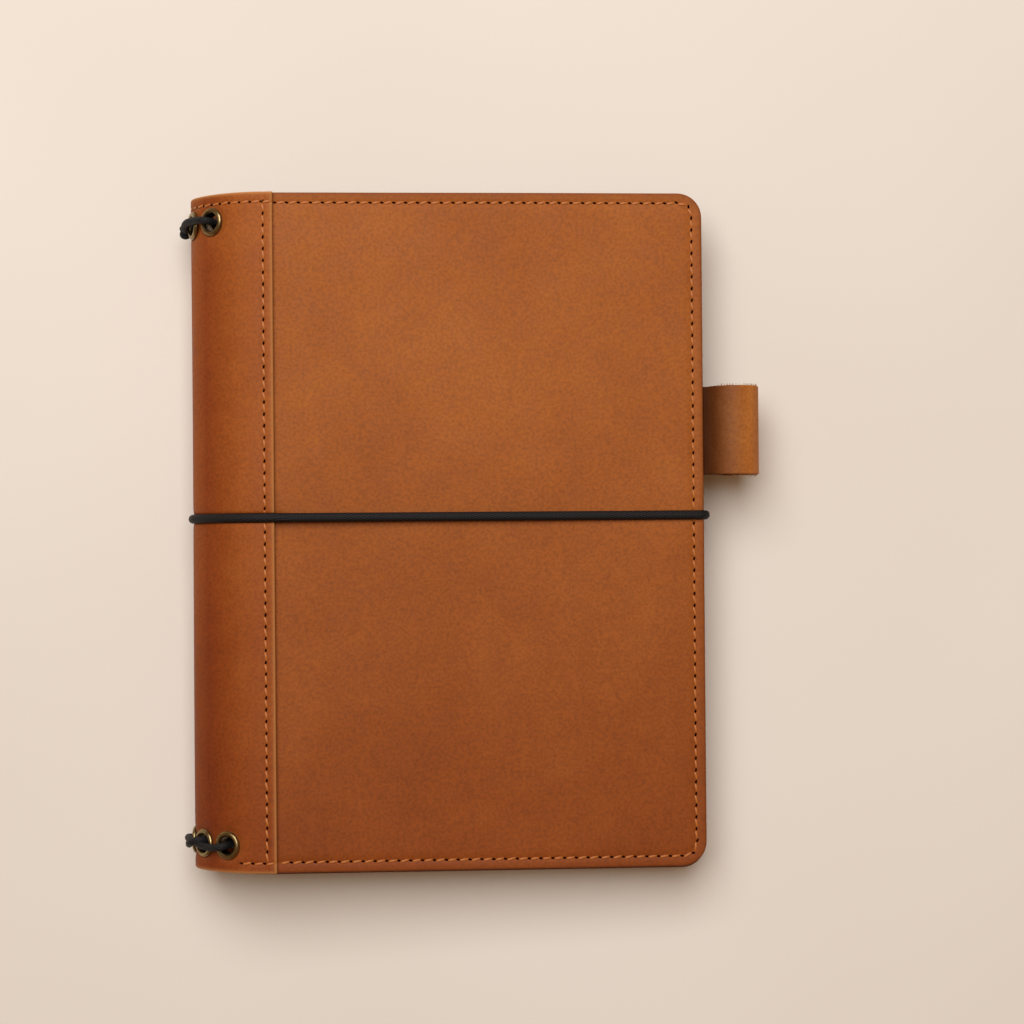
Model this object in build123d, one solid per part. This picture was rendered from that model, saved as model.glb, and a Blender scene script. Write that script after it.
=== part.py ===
from build123d import *

import os
from math import acos, atan, atan2, cos, degrees, hypot, radians, sin, tan

# A closed leather notebook cover that holds three booklets on elastic strands, with a pen loop
# on its fore-edge and an elastic cord round it. Millimetres, +Z up. It lies on its back cover.
# +X points from the spine to the fore-edge, +Y to the head. Inside this file x = 0 is the
# outermost line of the spine, and every solid is moved to the origin when it is written.

# ---- driving dimensions ----
COVER_HEIGHT = 198.0  # head to foot
COVER_WIDTH = 151.4  # spine to fore-edge, closed
SPINE_THICKNESS = 28.0  # over the leather, at the spine's shoulder
FORE_THICKNESS = 18.5  # over the leather, at the fore-edge
NOSE_RADIUS = 11.0  # the spine's tight bend
SHOULDER_REACH = 24.0  # from the spine's outermost line to the top of its curve
STRIP_REACH = 26.0  # from the spine's outermost line to the strip's cut edge
CORNER_RADIUS = 7.2

STRIP_LEATHER = 1.8
PANEL_LEATHER = 1.8
LINING_LEATHER = 0.9
POCKET_LEATHER = 0.9
LINING_LIP = 0.6  # how far the front lining shows past the panel at the foot
POCKET_START = 48.0  # the pocket's open edge
POCKET_MARGIN = 1.5

THREAD_WIDTH = 0.8
THREAD_RISE = 0.3
EDGE_STITCH_INSET = 3.0
SEAM_STITCH_INSET = 2.8  # from the strip's cut edge
FOOT_STITCH_START = 15.4  # the foot line starts here, on the strip

HINGE_REACH = 18.0  # where the strip bends as the front cover opens
HINGE_LIFT = 1.3  # the bend's axis is this far outside the leather
HINGE_GAP = 0.3
BACK_PANEL_START = 13.0
LINING_START = 19.2

BAND_RADIUS = 1.35
BAND_Y = 4.2
BAND_CORNER = 2.2
BAND_EDGE_PROUD = 0.55  # the cord's centre stands this far outside the fore-edge
BAND_CLEARANCE = 0.1

LACE_RADIUS = 1.1
LACE_BEND = 1.8  # inside the cover
LACE_MOUTH_BEND = 1.3  # where it turns over an eyelet
LACE_HEIGHT = 1.9  # its centre over the leather, outside
LACE_REACH_IN = 4.5  # how far it runs straight in from an eyelet
LACE_PASS = 3.6  # the crossing lace passes the middle eyelet this far to one side
EYELET_EDGE = 8.0  # from the head or the foot to the eyelets
EYELET_COUNT = 3
EYELET_PITCH = 9.6  # along the spine's curve
EYELET_MIDDLE = 4.8  # the middle eyelet at the head, measured round from the outermost line
EYELET_FOOT_SHIFT = 4.4  # the foot's eyelets sit this far round towards the front
EYELET_FLANGE = 4.15
EYELET_HOLE = 2.5
EYELET_WALL = 0.4
EYELET_RISE = 0.6
EYELET_SEAT = 0.5
EYELET_ROLL = 3.4
KNOT_RADIUS = 2.3
KNOT_HEIGHT = 3.4
KNOT_ROUND = 1.3

LOOP_Y = 29.0
LOOP_WIDTH = 25.9
LOOP_BORE = 6.1  # radius, for a pen 12 mm thick
LOOP_LEATHER = 1.3
LOOP_NECK = 1.7  # from the fore-edge to the ring
TAB_LENGTH = 10.0

BOOKLET_END_MARGIN = 11.0  # the cover shows this much past the booklets at the head and foot
BOOKLET_FORE_MARGIN = 10.4  # and this much at the fore-edge
BOOKLET_COUNT = 3
BOOKLET_FOLD_X = 16.0
CARD = 0.4
BOOKLET_GAP = 0.2
BOOKLET_CLEARANCE = 0.2  # between the pile and the pockets
FOLD_ROUND = 1.6
GUTTER_REACH = 3.2  # from the fold to the strand that runs in the gutter
GUTTER_CLEARANCE = 0.4
STAPLE_WIRE = 0.5
STAPLE_LENGTH = 12.0

# ---- what follows from them ----
FAR = 60.0  # larger than any distance across the section
LEATHER_BOTTOM = BAND_RADIUS  # the cord lies on the table, half sunk in the leather
BLEND_TILT = degrees(2 * atan((SPINE_THICKNESS - 2 * NOSE_RADIUS) / (SHOULDER_REACH - NOSE_RADIUS)))
SHOULDER_RADIUS = NOSE_RADIUS + (SHOULDER_REACH - NOSE_RADIUS) / sin(radians(BLEND_TILT))
NOSE_CENTRE = (NOSE_RADIUS, LEATHER_BOTTOM + NOSE_RADIUS)
SHOULDER_CENTRE = (SHOULDER_REACH, LEATHER_BOTTOM + SPINE_THICKNESS - SHOULDER_RADIUS)
FORE_TOP = LEATHER_BOTTOM + FORE_THICKNESS
BLEND_ANGLE = 90 + BLEND_TILT
LINING_DEPTH = STRIP_LEATHER + PANEL_LEATHER
POCKET_DEPTH = LINING_DEPTH + LINING_LEATHER
INNER_DEPTH = POCKET_DEPTH + POCKET_LEATHER
LOOP_OUTER = LOOP_BORE + LOOP_LEATHER
LOOP_REACH = LOOP_NECK + 2 * LOOP_OUTER  # past the fore-edge
EYELET_Y = COVER_HEIGHT / 2 - EYELET_EDGE
BOOKLET_HEIGHT = COVER_HEIGHT - 2 * BOOKLET_END_MARGIN
BOOKLET_WIDTH = COVER_WIDTH - BOOKLET_FOLD_X - BOOKLET_FORE_MARGIN
STAPLE_Y = BOOKLET_HEIGHT / 4


def polar(centre, radius, angle):
    """The point at this radius and angle (degrees) from a centre, in the cross-section."""
    return (centre[0] + radius * cos(radians(angle)), centre[1] + radius * sin(radians(angle)))


def tangent_angle(point):
    """Angle at which a line from the point touches the outer shoulder curve."""
    dx = point[0] - SHOULDER_CENTRE[0]
    dz = point[1] - SHOULDER_CENTRE[1]
    return degrees(atan2(dz, dx) + acos(SHOULDER_RADIUS / hypot(dx, dz)))


FRONT_ANGLE = tangent_angle((COVER_WIDTH, FORE_TOP + STRIP_LEATHER))
FRONT_SLOPE = FRONT_ANGLE - 90
HINGE_ANGLE = degrees(acos((HINGE_REACH - SHOULDER_CENTRE[0]) / SHOULDER_RADIUS))
HINGE_POINT = polar(SHOULDER_CENTRE, SHOULDER_RADIUS + HINGE_LIFT, HINGE_ANGLE)


def front_z(x, depth):
    """Height of the front cover's straight part, this deep in the leather."""
    touch = polar(SHOULDER_CENTRE, SHOULDER_RADIUS - depth, FRONT_ANGLE)
    return touch[1] + (x - touch[0]) * tan(radians(FRONT_SLOPE))


def back_z(x, depth):
    """Height of the back cover, this deep in the leather: level under the strip, then sloping."""
    beyond = max(0.0, x - STRIP_REACH) / (COVER_WIDTH - STRIP_REACH)
    return LEATHER_BOTTOM + depth - STRIP_LEATHER * beyond


def region(depth):
    """Everything inside the closed cover's section, this deep under the outer surface."""
    nose = NOSE_RADIUS - depth
    shoulder = SHOULDER_RADIUS - depth
    end = COVER_WIDTH + FAR
    top_start = polar(SHOULDER_CENTRE, shoulder, FRONT_ANGLE)
    edges = [
        CenterArc(NOSE_CENTRE, nose, BLEND_ANGLE, 270 - BLEND_ANGLE),
        Line(polar(NOSE_CENTRE, nose, 270), (STRIP_REACH, back_z(STRIP_REACH, depth))),
        Line((STRIP_REACH, back_z(STRIP_REACH, depth)), (end, back_z(end, depth))),
        Line((end, back_z(end, depth)), (end, front_z(end, depth))),
        Line((end, front_z(end, depth)), top_start),
        CenterArc(SHOULDER_CENTRE, shoulder, FRONT_ANGLE, BLEND_ANGLE - FRONT_ANGLE),
    ]
    return make_face(edges)


def window(*corners):
    """A straight-sided window on the section."""
    return make_face(Polyline(*corners, close=True))


def hinge_cut(turn=0.0):
    """Two points on the line where the spine meets the front cover, turned towards the front."""
    angle = HINGE_ANGLE - turn
    low = NOSE_CENTRE[1]
    reach = (low - SHOULDER_CENTRE[1]) / sin(radians(angle))
    return polar(SHOULDER_CENTRE, reach, angle), polar(SHOULDER_CENTRE, FAR, angle)


def front_window(x0=0.0, x1=FAR * 4):
    """The section of the front cover, past the hinge and between x0 and x1."""
    low, high = hinge_cut(degrees(HINGE_GAP / SHOULDER_RADIUS))
    past_hinge = window(low, (FAR * 4, low[1]), (FAR * 4, high[1]), high)
    return past_hinge & box_window(x0, x1, -FAR, FAR * 2)


def spine_window():
    """The section of the spine, from the hinge round the nose to the strip's cut edge underneath."""
    low, high = hinge_cut()
    corner = (STRIP_REACH, low[1])
    return window((-FAR, -FAR), (STRIP_REACH, -FAR), corner, low, high, (-FAR, high[1]))


def back_window(x0, x1=FAR * 4):
    """The section of the back cover, from x0 to x1."""
    return box_window(x0, x1, -FAR, NOSE_CENTRE[1])


def box_window(x0, x1, z0, z1):
    """A plain rectangular window on the section."""
    return window((x0, z0), (x1, z0), (x1, z1), (x0, z1))


def along_y(face, y0, y1):
    """The section face run along Y from y0 to y1."""
    return Pos(0, y1, 0) * extrude(Plane.XZ * face, amount=y1 - y0)


def plan(inset, foot_lip=0.0):
    """The cover's outline seen from above, as a tall block, set in from its edges."""
    right = COVER_WIDTH - inset
    height = COVER_HEIGHT - 2 * inset + foot_lip
    outline = RectangleRounded(right + FAR, height, CORNER_RADIUS - min(inset, CORNER_RADIUS / 2))
    return extrude(Pos((right - FAR) / 2, -foot_lip / 2, -FAR) * outline, amount=2 * FAR)


def stitch_ring():
    """The stitch line's path along the cover's edge, seen from above, as a tall block."""
    half = THREAD_WIDTH / 2
    return plan(EDGE_STITCH_INSET - half) - plan(EDGE_STITCH_INSET + half)


def layer(depth, thickness, limits):
    """One layer of the cover between two depths, inside a window on the section."""
    return (region(depth) - region(depth + thickness)) & limits


def sheet(depth, thickness, limits, inset=0.0, foot_lip=0.0):
    """One layer of the cover as a solid, cut to the cover's outline."""
    solid = along_y(layer(depth, thickness, limits), -COVER_HEIGHT, COVER_HEIGHT)
    return solid & plan(inset, foot_lip)


def band_path():
    """The closure elastic's closed route round the cover, in the section."""
    side = COVER_WIDTH + BAND_EDGE_PROUD
    high_turn = (side - BAND_CORNER, FORE_TOP + BAND_EDGE_PROUD - BAND_CORNER)
    low_turn = (side - BAND_CORNER, LEATHER_BOTTOM + BAND_CORNER)
    # the line that touches both the shoulder and the turn at the fore-edge
    dx = high_turn[0] - SHOULDER_CENTRE[0]
    dz = high_turn[1] - SHOULDER_CENTRE[1]
    touch = degrees(atan2(dz, dx) + acos((SHOULDER_RADIUS - BAND_CORNER) / hypot(dx, dz)))
    return Wire(
        [
            CenterArc(SHOULDER_CENTRE, SHOULDER_RADIUS, touch, BLEND_ANGLE - touch),
            CenterArc(NOSE_CENTRE, NOSE_RADIUS, BLEND_ANGLE, 270 - BLEND_ANGLE),
            Line(polar(NOSE_CENTRE, NOSE_RADIUS, 270), polar(low_turn, BAND_CORNER, 270)),
            CenterArc(low_turn, BAND_CORNER, 270, 90),
            Line(polar(low_turn, BAND_CORNER, 0), polar(high_turn, BAND_CORNER, 0)),
            CenterArc(high_turn, BAND_CORNER, 0, touch),
            Line(polar(high_turn, BAND_CORNER, touch), polar(SHOULDER_CENTRE, SHOULDER_RADIUS, touch)),
        ]
    )


def band(radius):
    """A round cord of this radius along the closure elastic's route."""
    path = Pos(0, BAND_Y, 0) * (Plane.XZ * band_path())
    start = Plane(origin=path @ 0, z_dir=path % 0)
    return sweep(start * Circle(radius), path=path)


def spine_place(station, height=0.0):
    """A point at this distance round the spine from its outermost line, this far outside the
    leather, and the direction of the leather's outward normal there, in degrees."""
    nose_length = NOSE_RADIUS * radians(180 - BLEND_ANGLE)
    if station <= nose_length:
        angle = 180 - degrees(station / NOSE_RADIUS)
        return polar(NOSE_CENTRE, NOSE_RADIUS + height, angle), angle
    angle = BLEND_ANGLE - degrees((station - nose_length) / SHOULDER_RADIUS)
    return polar(SHOULDER_CENTRE, SHOULDER_RADIUS + height, angle), angle


def eyelet_station(end, index):
    """Where an eyelet sits round the spine: index 0 is nearest the front, end is 1 or -1."""
    shift = EYELET_FOOT_SHIFT if end < 0 else 0.0
    return EYELET_MIDDLE + (1 - index) * EYELET_PITCH + shift


def spine_point(end, station, height, towards_middle=0.0):
    """A point over the spine near the head's (1) or the foot's (-1) row of eyelets."""
    (x, z), _ = spine_place(station, height)
    return Vector(x, end * (EYELET_Y - towards_middle), z)


def eyelet_plane(end, index):
    """A plane on the leather at an eyelet, facing outwards."""
    station = eyelet_station(end, index)
    _, angle = spine_place(station)
    normal = Vector(cos(radians(angle)), 0, sin(radians(angle)))
    return Plane(origin=spine_point(end, station, 0), x_dir=(0, 1, 0), z_dir=normal)


def eyelet():
    """An eyelet about the local Z axis: a domed flange, a barrel and a rolled inner edge."""
    barrel = EYELET_HOLE + EYELET_WALL
    inner = -(STRIP_LEATHER + LINING_LEATHER)
    crown = (EYELET_HOLE + EYELET_FLANGE) / 2
    profile = make_face(
        [
            Line((EYELET_HOLE, inner), (EYELET_HOLE, 0)),
            Spline((EYELET_HOLE, 0), (crown, EYELET_RISE), (EYELET_FLANGE, -EYELET_SEAT / 2)),
            Line((EYELET_FLANGE, -EYELET_SEAT / 2), (EYELET_FLANGE, -EYELET_SEAT)),
            Line((EYELET_FLANGE, -EYELET_SEAT), (barrel, -EYELET_SEAT)),
            Line((barrel, -EYELET_SEAT), (barrel, inner + EYELET_SEAT)),
            Line((barrel, inner + EYELET_SEAT), (EYELET_ROLL, inner + EYELET_SEAT)),
            Line((EYELET_ROLL, inner + EYELET_SEAT), (EYELET_ROLL, inner)),
            Line((EYELET_ROLL, inner), (EYELET_HOLE, inner)),
        ]
    )
    return revolve(Plane.XZ * profile, axis=Axis.Z)


def eyelet_seat():
    """What an eyelet takes out of the strip and its lining, about the local Z axis."""
    inner = -(STRIP_LEATHER + LINING_LEATHER)
    up = Align.CENTER, Align.CENTER, Align.MIN
    down = Align.CENTER, Align.CENTER, Align.MAX
    flange = Pos(0, 0, -EYELET_SEAT) * Cylinder(EYELET_FLANGE, 4, align=up)
    roll = Pos(0, 0, inner + EYELET_SEAT) * Cylinder(EYELET_ROLL, 4, align=down)
    barrel = Cylinder(EYELET_HOLE + EYELET_WALL, 8)
    return flange + roll + barrel


def tube(points, bends, radius=LACE_RADIUS):
    """A round cord along straight runs joined by tangent arcs."""
    path = FilletPolyline(*points, radius=bends)
    start = Plane(origin=path @ 0, z_dir=path % 0)
    return sweep(start * Circle(radius), path=path)


def booklet_bottom(x):
    """Underside of the pile of booklets, straight from the fold to the fore-edge."""
    start = back_z(BOOKLET_FOLD_X, INNER_DEPTH)
    end = back_z(BOOKLET_FOLD_X + BOOKLET_WIDTH, INNER_DEPTH)
    return start + (end - start) * (x - BOOKLET_FOLD_X) / BOOKLET_WIDTH + BOOKLET_CLEARANCE


def booklet_top(x):
    """Top of the pile of booklets."""
    return front_z(x, INNER_DEPTH) - BOOKLET_CLEARANCE


def booklet_z(index, share, x):
    """Height in booklet index (0 on top), share 0 at its underside to 1 at its top."""
    gaps = (BOOKLET_COUNT - 1) * BOOKLET_GAP
    each = (booklet_top(x) - booklet_bottom(x) - gaps) / BOOKLET_COUNT
    below = BOOKLET_COUNT - 1 - index
    return booklet_bottom(x) + below * (each + BOOKLET_GAP) + share * each


def booklet_section(index, low, high, skin, round_fold):
    """A booklet's section between two shares of its thickness, inside a skin of card."""
    x0 = BOOKLET_FOLD_X + skin
    x1 = BOOKLET_FOLD_X + BOOKLET_WIDTH
    bottom = skin if low == 0 else 0.0
    top = skin if high == 1 else 0.0
    corners = [
        (x0, booklet_z(index, low, x0) + bottom),
        (x1, booklet_z(index, low, x1) + bottom),
        (x1, booklet_z(index, high, x1) - top),
        (x0, booklet_z(index, high, x0) - top),
    ]
    face = window(*corners)
    rounded = [v for v in face.vertices() if v.X < x0 + 1]
    if high < 1:
        rounded = [v for v in rounded if v.Y < booklet_z(index, 0.5, x0) - 1]
    if low > 0:
        rounded = [v for v in rounded if v.Y > booklet_z(index, 0.5, x0) + 1]
    return fillet(rounded, round_fold)


def gutter(index):
    """Where the strand runs inside a booklet, in the section."""
    x = BOOKLET_FOLD_X + GUTTER_REACH
    return x, booklet_z(index, 0.5, x)


def booklet(index, low=0, high=1):
    """The card and the leaves of a booklet, or of one half of it."""
    half = BOOKLET_HEIGHT / 2
    outer = along_y(booklet_section(index, low, high, 0.0, FOLD_ROUND), -half, half)
    inner = along_y(booklet_section(index, low, high, CARD, FOLD_ROUND - CARD), -half, half)
    x, z = gutter(index)
    groove = along_y(Pos(x, z) * Circle(LACE_RADIUS + GUTTER_CLEARANCE), -half, half)
    return outer - inner, inner - groove


def staples(index, low, high):
    """Two staples on the outside of a booklet's fold."""
    x = BOOKLET_FOLD_X
    z0 = booklet_z(index, 0.5, x) + low * STAPLE_WIRE
    z1 = booklet_z(index, 0.5, x) + high * STAPLE_WIRE
    wire = box_window(x - STAPLE_WIRE, x, z0, z1)
    half = STAPLE_LENGTH / 2
    return Compound([along_y(wire, y - half, y + half) for y in (-STAPLE_Y, STAPLE_Y)])


def pen_loop():
    """The pen loop: a ring of leather with a neck, and its tab between panel and lining."""
    tab = layer(LINING_DEPTH, LINING_LEATHER, front_window(COVER_WIDTH - TAB_LENGTH, COVER_WIDTH))
    high = front_z(COVER_WIDTH, LINING_DEPTH)
    low = front_z(COVER_WIDTH, LINING_DEPTH + LINING_LEATHER)
    centre = (COVER_WIDTH + LOOP_REACH - LOOP_OUTER, (high + low) / 2)
    pinch = (COVER_WIDTH + LOOP_LEATHER, centre[1] + LOOP_LEATHER)
    dx = pinch[0] - centre[0]
    dz = pinch[1] - centre[1]
    touch = degrees(atan2(dz, dx) - acos(LOOP_OUTER / hypot(dx, dz)))
    neck = window(
        (COVER_WIDTH, low),
        (pinch[0], centre[1] - LOOP_LEATHER),
        polar(centre, LOOP_OUTER, -touch),
        centre,
        polar(centre, LOOP_OUTER, touch),
        pinch,
        (COVER_WIDTH, high),
    )
    bore = Pos(*centre) * Circle(LOOP_BORE)
    section = tab + ((neck + Pos(*centre) * Circle(LOOP_OUTER)) - bore)
    return along_y(section, LOOP_Y - LOOP_WIDTH / 2, LOOP_Y + LOOP_WIDTH / 2)


parts = {}

# ---- the leather, its linings and its stitch lines ----
groove = band(BAND_RADIUS + BAND_CLEARANCE)
seats = Compound([eyelet_plane(end, i) * eyelet_seat() for end in (1, -1) for i in range(EYELET_COUNT)])

parts["spine_strip"] = sheet(0, STRIP_LEATHER, spine_window()) - seats - groove
below_hinge = spine_window() - back_window(BACK_PANEL_START)
parts["spine_lining"] = sheet(STRIP_LEATHER, LINING_LEATHER, below_hinge) - seats
parts["back_panel"] = sheet(STRIP_LEATHER, PANEL_LEATHER, back_window(BACK_PANEL_START)) - groove
parts["back_lining"] = sheet(LINING_DEPTH, LINING_LEATHER, back_window(BACK_PANEL_START)) - groove
parts["back_pocket"] = sheet(POCKET_DEPTH, POCKET_LEATHER, back_window(POCKET_START), POCKET_MARGIN)

parts["front_spine_flap"] = sheet(0, STRIP_LEATHER, front_window(x1=STRIP_REACH)) - groove
parts["front_panel"] = sheet(STRIP_LEATHER, PANEL_LEATHER, front_window()) - groove
tab_space = along_y(
    box_window(COVER_WIDTH - TAB_LENGTH, COVER_WIDTH + LOOP_REACH, 0, FORE_TOP),
    LOOP_Y - LOOP_WIDTH / 2,
    LOOP_Y + LOOP_WIDTH / 2,
)
front_lining = sheet(LINING_DEPTH, LINING_LEATHER, front_window(LINING_START), 0, LINING_LIP)
parts["front_lining"] = front_lining - tab_space - groove
parts["front_pocket"] = sheet(POCKET_DEPTH, POCKET_LEATHER, front_window(POCKET_START), POCKET_MARGIN)
parts["pen_loop"] = pen_loop()

ring = stitch_ring()
seam_x = STRIP_REACH - SEAM_STITCH_INSET
seam_half = COVER_HEIGHT / 2 - EDGE_STITCH_INSET
seam = Pos(seam_x, 0, 0) * Box(THREAD_WIDTH, 2 * seam_half, 2 * FAR)
past_strip = STRIP_REACH + THREAD_RISE
on_panel = STRIP_LEATHER - THREAD_RISE


def thread(depth, limits, where):
    """A stitch line lying on the leather at this depth, clear of the closure elastic."""
    line = along_y(layer(depth, THREAD_RISE, limits), -COVER_HEIGHT, COVER_HEIGHT)
    return (line & where) - groove


parts["front_edge_stitching"] = thread(on_panel, front_window(past_strip), ring)
parts["front_seam_stitching"] = thread(-THREAD_RISE, front_window(x1=STRIP_REACH), ring + seam)
parts["back_edge_stitching"] = thread(on_panel, back_window(past_strip), ring)
parts["back_seam_stitching"] = thread(-THREAD_RISE, back_window(BACK_PANEL_START, STRIP_REACH), ring + seam)
above_nose = spine_window() - back_window(-FAR)
head_half = Pos(0, COVER_HEIGHT / 2, 0) * Box(4 * FAR, COVER_HEIGHT, 4 * FAR)
foot_start = Pos(FOOT_STITCH_START + FAR, 0, 0) * Box(2 * FAR, 2 * COVER_HEIGHT, 2 * FAR)
parts["spine_stitching"] = thread(-THREAD_RISE, above_nose, ring & (head_half + foot_start))

# ---- eyelets and lacing ----
for end, name in ((1, "head"), (-1, "foot")):
    for i in range(EYELET_COUNT):
        parts[f"eyelet_{name}_{i + 1}"] = eyelet_plane(end, i) * eyelet()


def settle(shape, *names):
    """A soft piece pressed against these harder ones: it gives way where they meet."""
    for name in names:
        shape = shape - parts[name]
    return shape


for i in range(EYELET_COUNT):
    x, z = gutter(i)
    head = eyelet_station(1, i)
    foot = eyelet_station(-1, i)
    route = [
        spine_point(1, head, EYELET_RISE if i == 2 else 0),
        spine_point(1, head, -LACE_REACH_IN),
        Vector(x, EYELET_Y, z),
        Vector(x, -EYELET_Y, z),
        spine_point(-1, foot, -LACE_REACH_IN),
        spine_point(-1, foot, EYELET_RISE if i == 1 else 0),
    ]
    parts[f"lace_strand_{i + 1}"] = tube(route, [LACE_BEND] * 4)

first, second = eyelet_station(1, 0), eyelet_station(1, 1)
head_route = [
    spine_point(1, first, 0),
    spine_point(1, first, LACE_HEIGHT),
    spine_point(1, (first + second) / 2, LACE_HEIGHT),
    spine_point(1, second, LACE_HEIGHT),
    spine_point(1, second, 0),
]
lace = tube(head_route, [LACE_MOUTH_BEND, LACE_BEND, LACE_MOUTH_BEND])
parts["lace_head"] = settle(lace, "eyelet_head_1", "eyelet_head_2")

first, second, third = (eyelet_station(-1, i) for i in range(EYELET_COUNT))
foot_route = [
    spine_point(-1, first, 0),
    spine_point(-1, first, LACE_HEIGHT),
    spine_point(-1, (first + second) / 2, LACE_HEIGHT, LACE_PASS),
    spine_point(-1, (second + third) / 2, LACE_HEIGHT, LACE_PASS),
    spine_point(-1, third, LACE_HEIGHT),
    spine_point(-1, third, 0),
]
lace = tube(foot_route, [LACE_MOUTH_BEND, LACE_BEND, LACE_BEND, LACE_MOUTH_BEND])
parts["lace_foot"] = settle(lace, "eyelet_foot_1", "eyelet_foot_2", "eyelet_foot_3")


def knot(end, index):
    """A knot that stands on an eyelet and keeps the cord from slipping back through it."""
    base = Align.CENTER, Align.CENTER, Align.MIN
    body = Cylinder(KNOT_RADIUS, KNOT_HEIGHT, align=base)
    body = fillet(body.edges().filter_by(GeomType.CIRCLE), KNOT_ROUND)
    return eyelet_plane(end, index) * Pos(0, 0, EYELET_RISE) * body


parts["lace_knot_head"] = knot(1, 2)
parts["lace_knot_foot"] = knot(-1, 1)
parts["closure_elastic"] = band(BAND_RADIUS)

# ---- booklets: the top one opens at its fold ----
parts["booklet_1_front_card"], parts["booklet_1_front_leaves"] = booklet(0, low=0.5)
parts["booklet_1_back_card"], parts["booklet_1_back_leaves"] = booklet(0, high=0.5)
parts["booklet_1_staples"] = staples(0, -1, 0)
for i in range(1, BOOKLET_COUNT):
    parts[f"booklet_{i + 1}_card"], parts[f"booklet_{i + 1}_leaves"] = booklet(i)
    parts[f"booklet_{i + 1}_staples"] = staples(i, -0.5, 0.5)

# ---- the origin is at the middle of the whole part's underside ----
left = parts["lace_knot_head"].bounding_box().min.X
to_middle = Pos(-(left + COVER_WIDTH + LOOP_REACH) / 2, LINING_LIP / 2, 0)
os.makedirs("parts", exist_ok=True)
for name, shape in parts.items():
    export_step(to_middle * shape, f"parts/{name}.step")

hinge = to_middle * Pos(HINGE_POINT[0], 0, HINGE_POINT[1])
fold = to_middle * Pos(BOOKLET_FOLD_X, 0, booklet_z(0, 0.5, BOOKLET_FOLD_X))
print("cover hinge", hinge.position, "booklet fold", fold.position)
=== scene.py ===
"""A leather cover for thin booklets: laced with elastic, with a pen loop and a closure elastic.

Sizes inside the classes are millimetres in the cover's own section, where x = 0 is the spine's
outermost line. Meshes are in metres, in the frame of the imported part.
"""

import logging
import math
import random
from dataclasses import dataclass
from enum import Enum
from typing import Callable, Iterable

import bmesh
import bpy
from mathutils import Matrix, Vector


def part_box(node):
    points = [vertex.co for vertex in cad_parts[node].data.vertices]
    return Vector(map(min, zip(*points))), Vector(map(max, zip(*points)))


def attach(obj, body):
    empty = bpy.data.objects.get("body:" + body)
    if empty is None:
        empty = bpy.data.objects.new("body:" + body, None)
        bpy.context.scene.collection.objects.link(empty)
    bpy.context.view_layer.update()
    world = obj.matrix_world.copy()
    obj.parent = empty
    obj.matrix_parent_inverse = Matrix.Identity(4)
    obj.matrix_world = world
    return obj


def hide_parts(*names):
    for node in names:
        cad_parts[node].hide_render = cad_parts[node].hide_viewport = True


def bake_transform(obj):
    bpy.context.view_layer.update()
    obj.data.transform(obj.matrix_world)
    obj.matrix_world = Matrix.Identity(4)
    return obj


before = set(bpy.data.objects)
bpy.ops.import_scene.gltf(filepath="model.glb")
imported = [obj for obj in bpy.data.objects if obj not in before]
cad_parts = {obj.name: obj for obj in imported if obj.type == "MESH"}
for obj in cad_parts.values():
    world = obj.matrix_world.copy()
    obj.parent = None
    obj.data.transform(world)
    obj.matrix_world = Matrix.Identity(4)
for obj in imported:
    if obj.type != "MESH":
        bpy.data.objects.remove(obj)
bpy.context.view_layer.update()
MM = 0.001
TAU = 2 * math.pi
SHARP_ANGLE = math.radians(50)
LOG = logging.getLogger("notebook_cover")


class Body(str, Enum):
    """The bodies that pieces ride on."""

    BACK = "back_cover"
    FRONT = "front_cover"
    LEAVES = "booklet_1_upper"
    CORD = "closure_elastic"


class Side(Enum):
    """Which of the two covers a sheet belongs to."""

    FRONT = 1
    BACK = -1


def polar(centre: tuple[float, float], radius: float, angle: float) -> tuple[float, float]:
    """The point at this radius and angle (radians) from a centre, in the section."""
    return centre[0] + radius * math.cos(angle), centre[1] + radius * math.sin(angle)


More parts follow.
